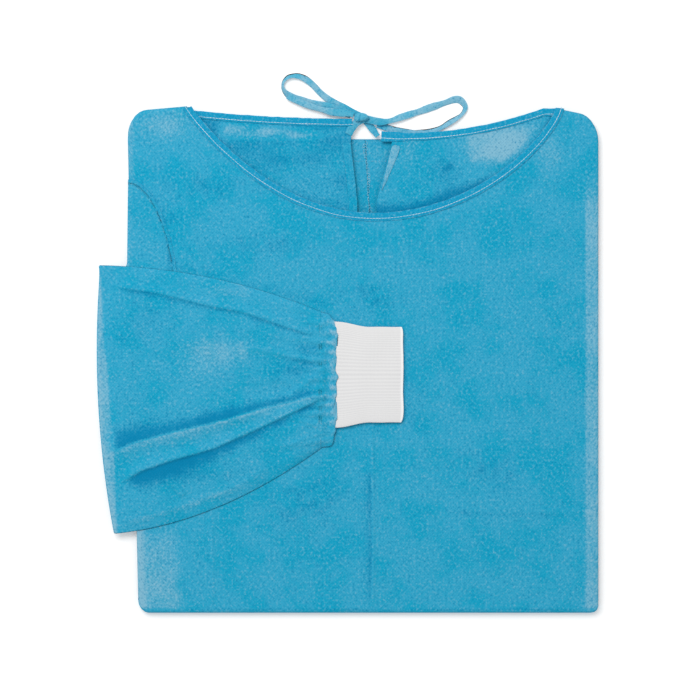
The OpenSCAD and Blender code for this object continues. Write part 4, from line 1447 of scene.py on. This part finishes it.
def grow(node, tree, path, sizes, body="upper_half"):
    """Run a tree along a path and keep the result as a plain mesh."""
    name = node + "_thread"
    mesh = bpy.data.meshes.new(name + "_path")
    mesh.from_pydata((np.asarray(path) * MM).tolist(),
                     [(i, i + 1) for i in range(len(path) - 1)], [])
    holder = add_object(name + "_path", mesh)
    modifier = holder.modifiers.new("grow", "NODES")
    modifier.node_group = tree
    for item in tree.interface.items_tree:
        if item.in_out == "INPUT" and item.name in sizes:
            modifier[item.identifier] = sizes[item.name] * MM
    graph = bpy.context.evaluated_depsgraph_get()
    grown = bpy.data.meshes.new_from_object(holder.evaluated_get(graph))
    bpy.data.objects.remove(holder)
    grown.name = name
    grown.polygons.foreach_set("use_smooth", [True] * len(grown.polygons))
    piece = add_object(name, grown)
    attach(piece, body)
    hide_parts(node)
    print(name, len(grown.polygons), "faces")


# %% Threads of the neck, the hem and the seams
NECK_THREAD = {"Pitch": 3.2, "Length": 3.5, "Thickness": 0.66}
HEM_THREAD = {"Pitch": 3.4, "Length": 2.9, "Thickness": 0.5}
LOOP_LENGTH = 5.6


def wander_off(line, seed):
    """A line of stitches wanders a little from the straight."""
    line[:, 1] += 0.18 * waves(np.arange(len(line)) * 1.0, 0, 23, seed)
    return line


for seed, (node, line) in enumerate((
    ("neck_stitching_front", at_height(front_neckline(5.9, 320), FRONT_Z + 1.22)),
    ("neck_stitching_back_left", at_height(back_line(True, 6.0), BACK_BINDING_Z + 0.78)),
    ("neck_stitching_back_right", at_height(back_line(False, 6.0), BACK_BINDING_Z + 0.78)),
), 1):
    grow(node, STITCHES, wander_off(line, seed), NECK_THREAD)


def hem_path():
    x = np.linspace(LEFT_X + 5, RIGHT_X - 5, 160)
    return at_height(np.stack([x, np.full_like(x, HEM_Y - 23.0)], axis=1), BACK_LOWER_Z + 0.3)


grow("hem_stitching", HEM_STITCHES, hem_path(), HEM_THREAD, "lower_half")


def overlock_path():
    """Loops over the two lower back edges, open and uneven at the hem."""
    t = np.arange(0, HEM_Y - BOTTOM_Y - 8, 0.45)
    y = HEM_Y - 3 - t
    swing = np.clip(1.5 + 1.3 * waves(t, 0, 24, 6), 0.35, 2.4)
    loop = np.sin(t * 2 * math.pi / LOOP_LENGTH)
    x = meet_x(y) + swing * loop + 0.9 * waves(t, 0, 38, 7)
    y = y + 1.3 * np.sin(t * 4 * math.pi / LOOP_LENGTH + 0.6)
    z = BACK_LOWER_Z + 0.42 + 0.12 * np.cos(t * 2 * math.pi / LOOP_LENGTH)
    return np.stack([x, y, z], axis=1)


grow("skirt_edge_stitching", OVERLOCK, overlock_path(), {"Thickness": 0.5}, "lower_half")

# %% [markdown]
# What is a sheet of cloth
#
# The flat size of each piece of cloth is worked out from its width and area, and the area
# is printed. The width is the one it is made with, and the area is that of one face of its
# own mesh, so it isn't an outside measure of the cloth. A sleeve is sewn to a tube and
# pressed, so its size is that of the pressed tube, and its area is that of one ply.

LENGTH_MARGIN = 1.02


def one_side_area(piece):
    """The area of one face of a thin closed piece, in square metres."""
    return sum(face.area for face in piece.data.polygons) / 2


for piece, width, rests in (
    (front, RIGHT_X - LEFT_X, ["back_cloth_left", "back_cloth_right"]),
    (back_left, LEFT_END - LEFT_X, ["front_cloth"]),
    (back_right, RIGHT_X - RIGHT_END, ["front_cloth"]),
    (left_sleeve, SLEEVE_TOP - SLEEVE_LOW, ["front_cloth"]),
    (right_sleeve, SLEEVE_TOP - SLEEVE_LOW, ["back_cloth_right"]),
):
    area = one_side_area(piece)
    size = (width * MM, max(area / (width * MM), 0.1) * LENGTH_MARGIN)
    print(piece.name, "was cut from", round(area, 3), "square metres")

# %% [markdown]
# Table and light
#
# The gown lies on a white table under a large soft lamp, with even light from all round.
# The table shows as plain white where no shadow falls. Its colour gives that, with a touch
# of its own brightness that the camera and mirrors see, and that doesn't light the cloth.

# %% Table, lamp and surroundings
TABLE_GLOW, TABLE_HALF = 0.20, 3.0


def table_material():
    shader = Shader("white_table")
    grain = shader.noise(shader.node("ShaderNodeTexCoord", output=3), 3.0, 2.0)
    colour = shader.mix(grain, (0.93, 0.93, 0.93, 1), (0.96, 0.96, 0.96, 1))
    surface = shader.surface(colour, 0.9, shine=0.1)
    rays = shader.node("ShaderNodeLightPath").socket.node.outputs
    seen = Wire(shader, rays["Is Camera Ray"]) + Wire(shader, rays["Is Glossy Ray"])
    seen = (seen + Wire(shader, rays["Is Transmission Ray"])) * TABLE_GLOW
    glow = shader.node("ShaderNodeEmission", None, {"Color": (1, 1, 1, 1), "Strength": seen})
    both = shader.node("ShaderNodeAddShader", None, [surface, glow])
    return shader.finish(both)


table_mesh = bpy.data.meshes.new("table")
table_corners = ((-1, -1), (1, -1), (1, 1), (-1, 1))
table_mesh.from_pydata([(x * TABLE_HALF, y * TABLE_HALF, 0) for x, y in table_corners],
                       [], [(0, 1, 2, 3)])
table_mesh.materials.append(table_material())
table = add_object("table", table_mesh)

lamp_data = bpy.data.lights.new("softbox", "AREA")
lamp_data.shape = "RECTANGLE"
lamp_data.size, lamp_data.size_y = 2.0, 1.6
lamp_data.energy = 52.0
lamp = add_object("softbox", lamp_data)
lamp.location = (-0.9, 1.5, 2.6)
lamp.rotation_euler = (-math.atan2(1.5, 2.6), -math.atan2(0.9, 3.0), 0)

world = bpy.data.worlds.new("studio")
world.use_nodes = True
background = world.node_tree.nodes["Background"]
background.inputs["Color"].default_value = (1, 1, 1, 1)
background.inputs["Strength"].default_value = 0.58
bpy.context.scene.world = world
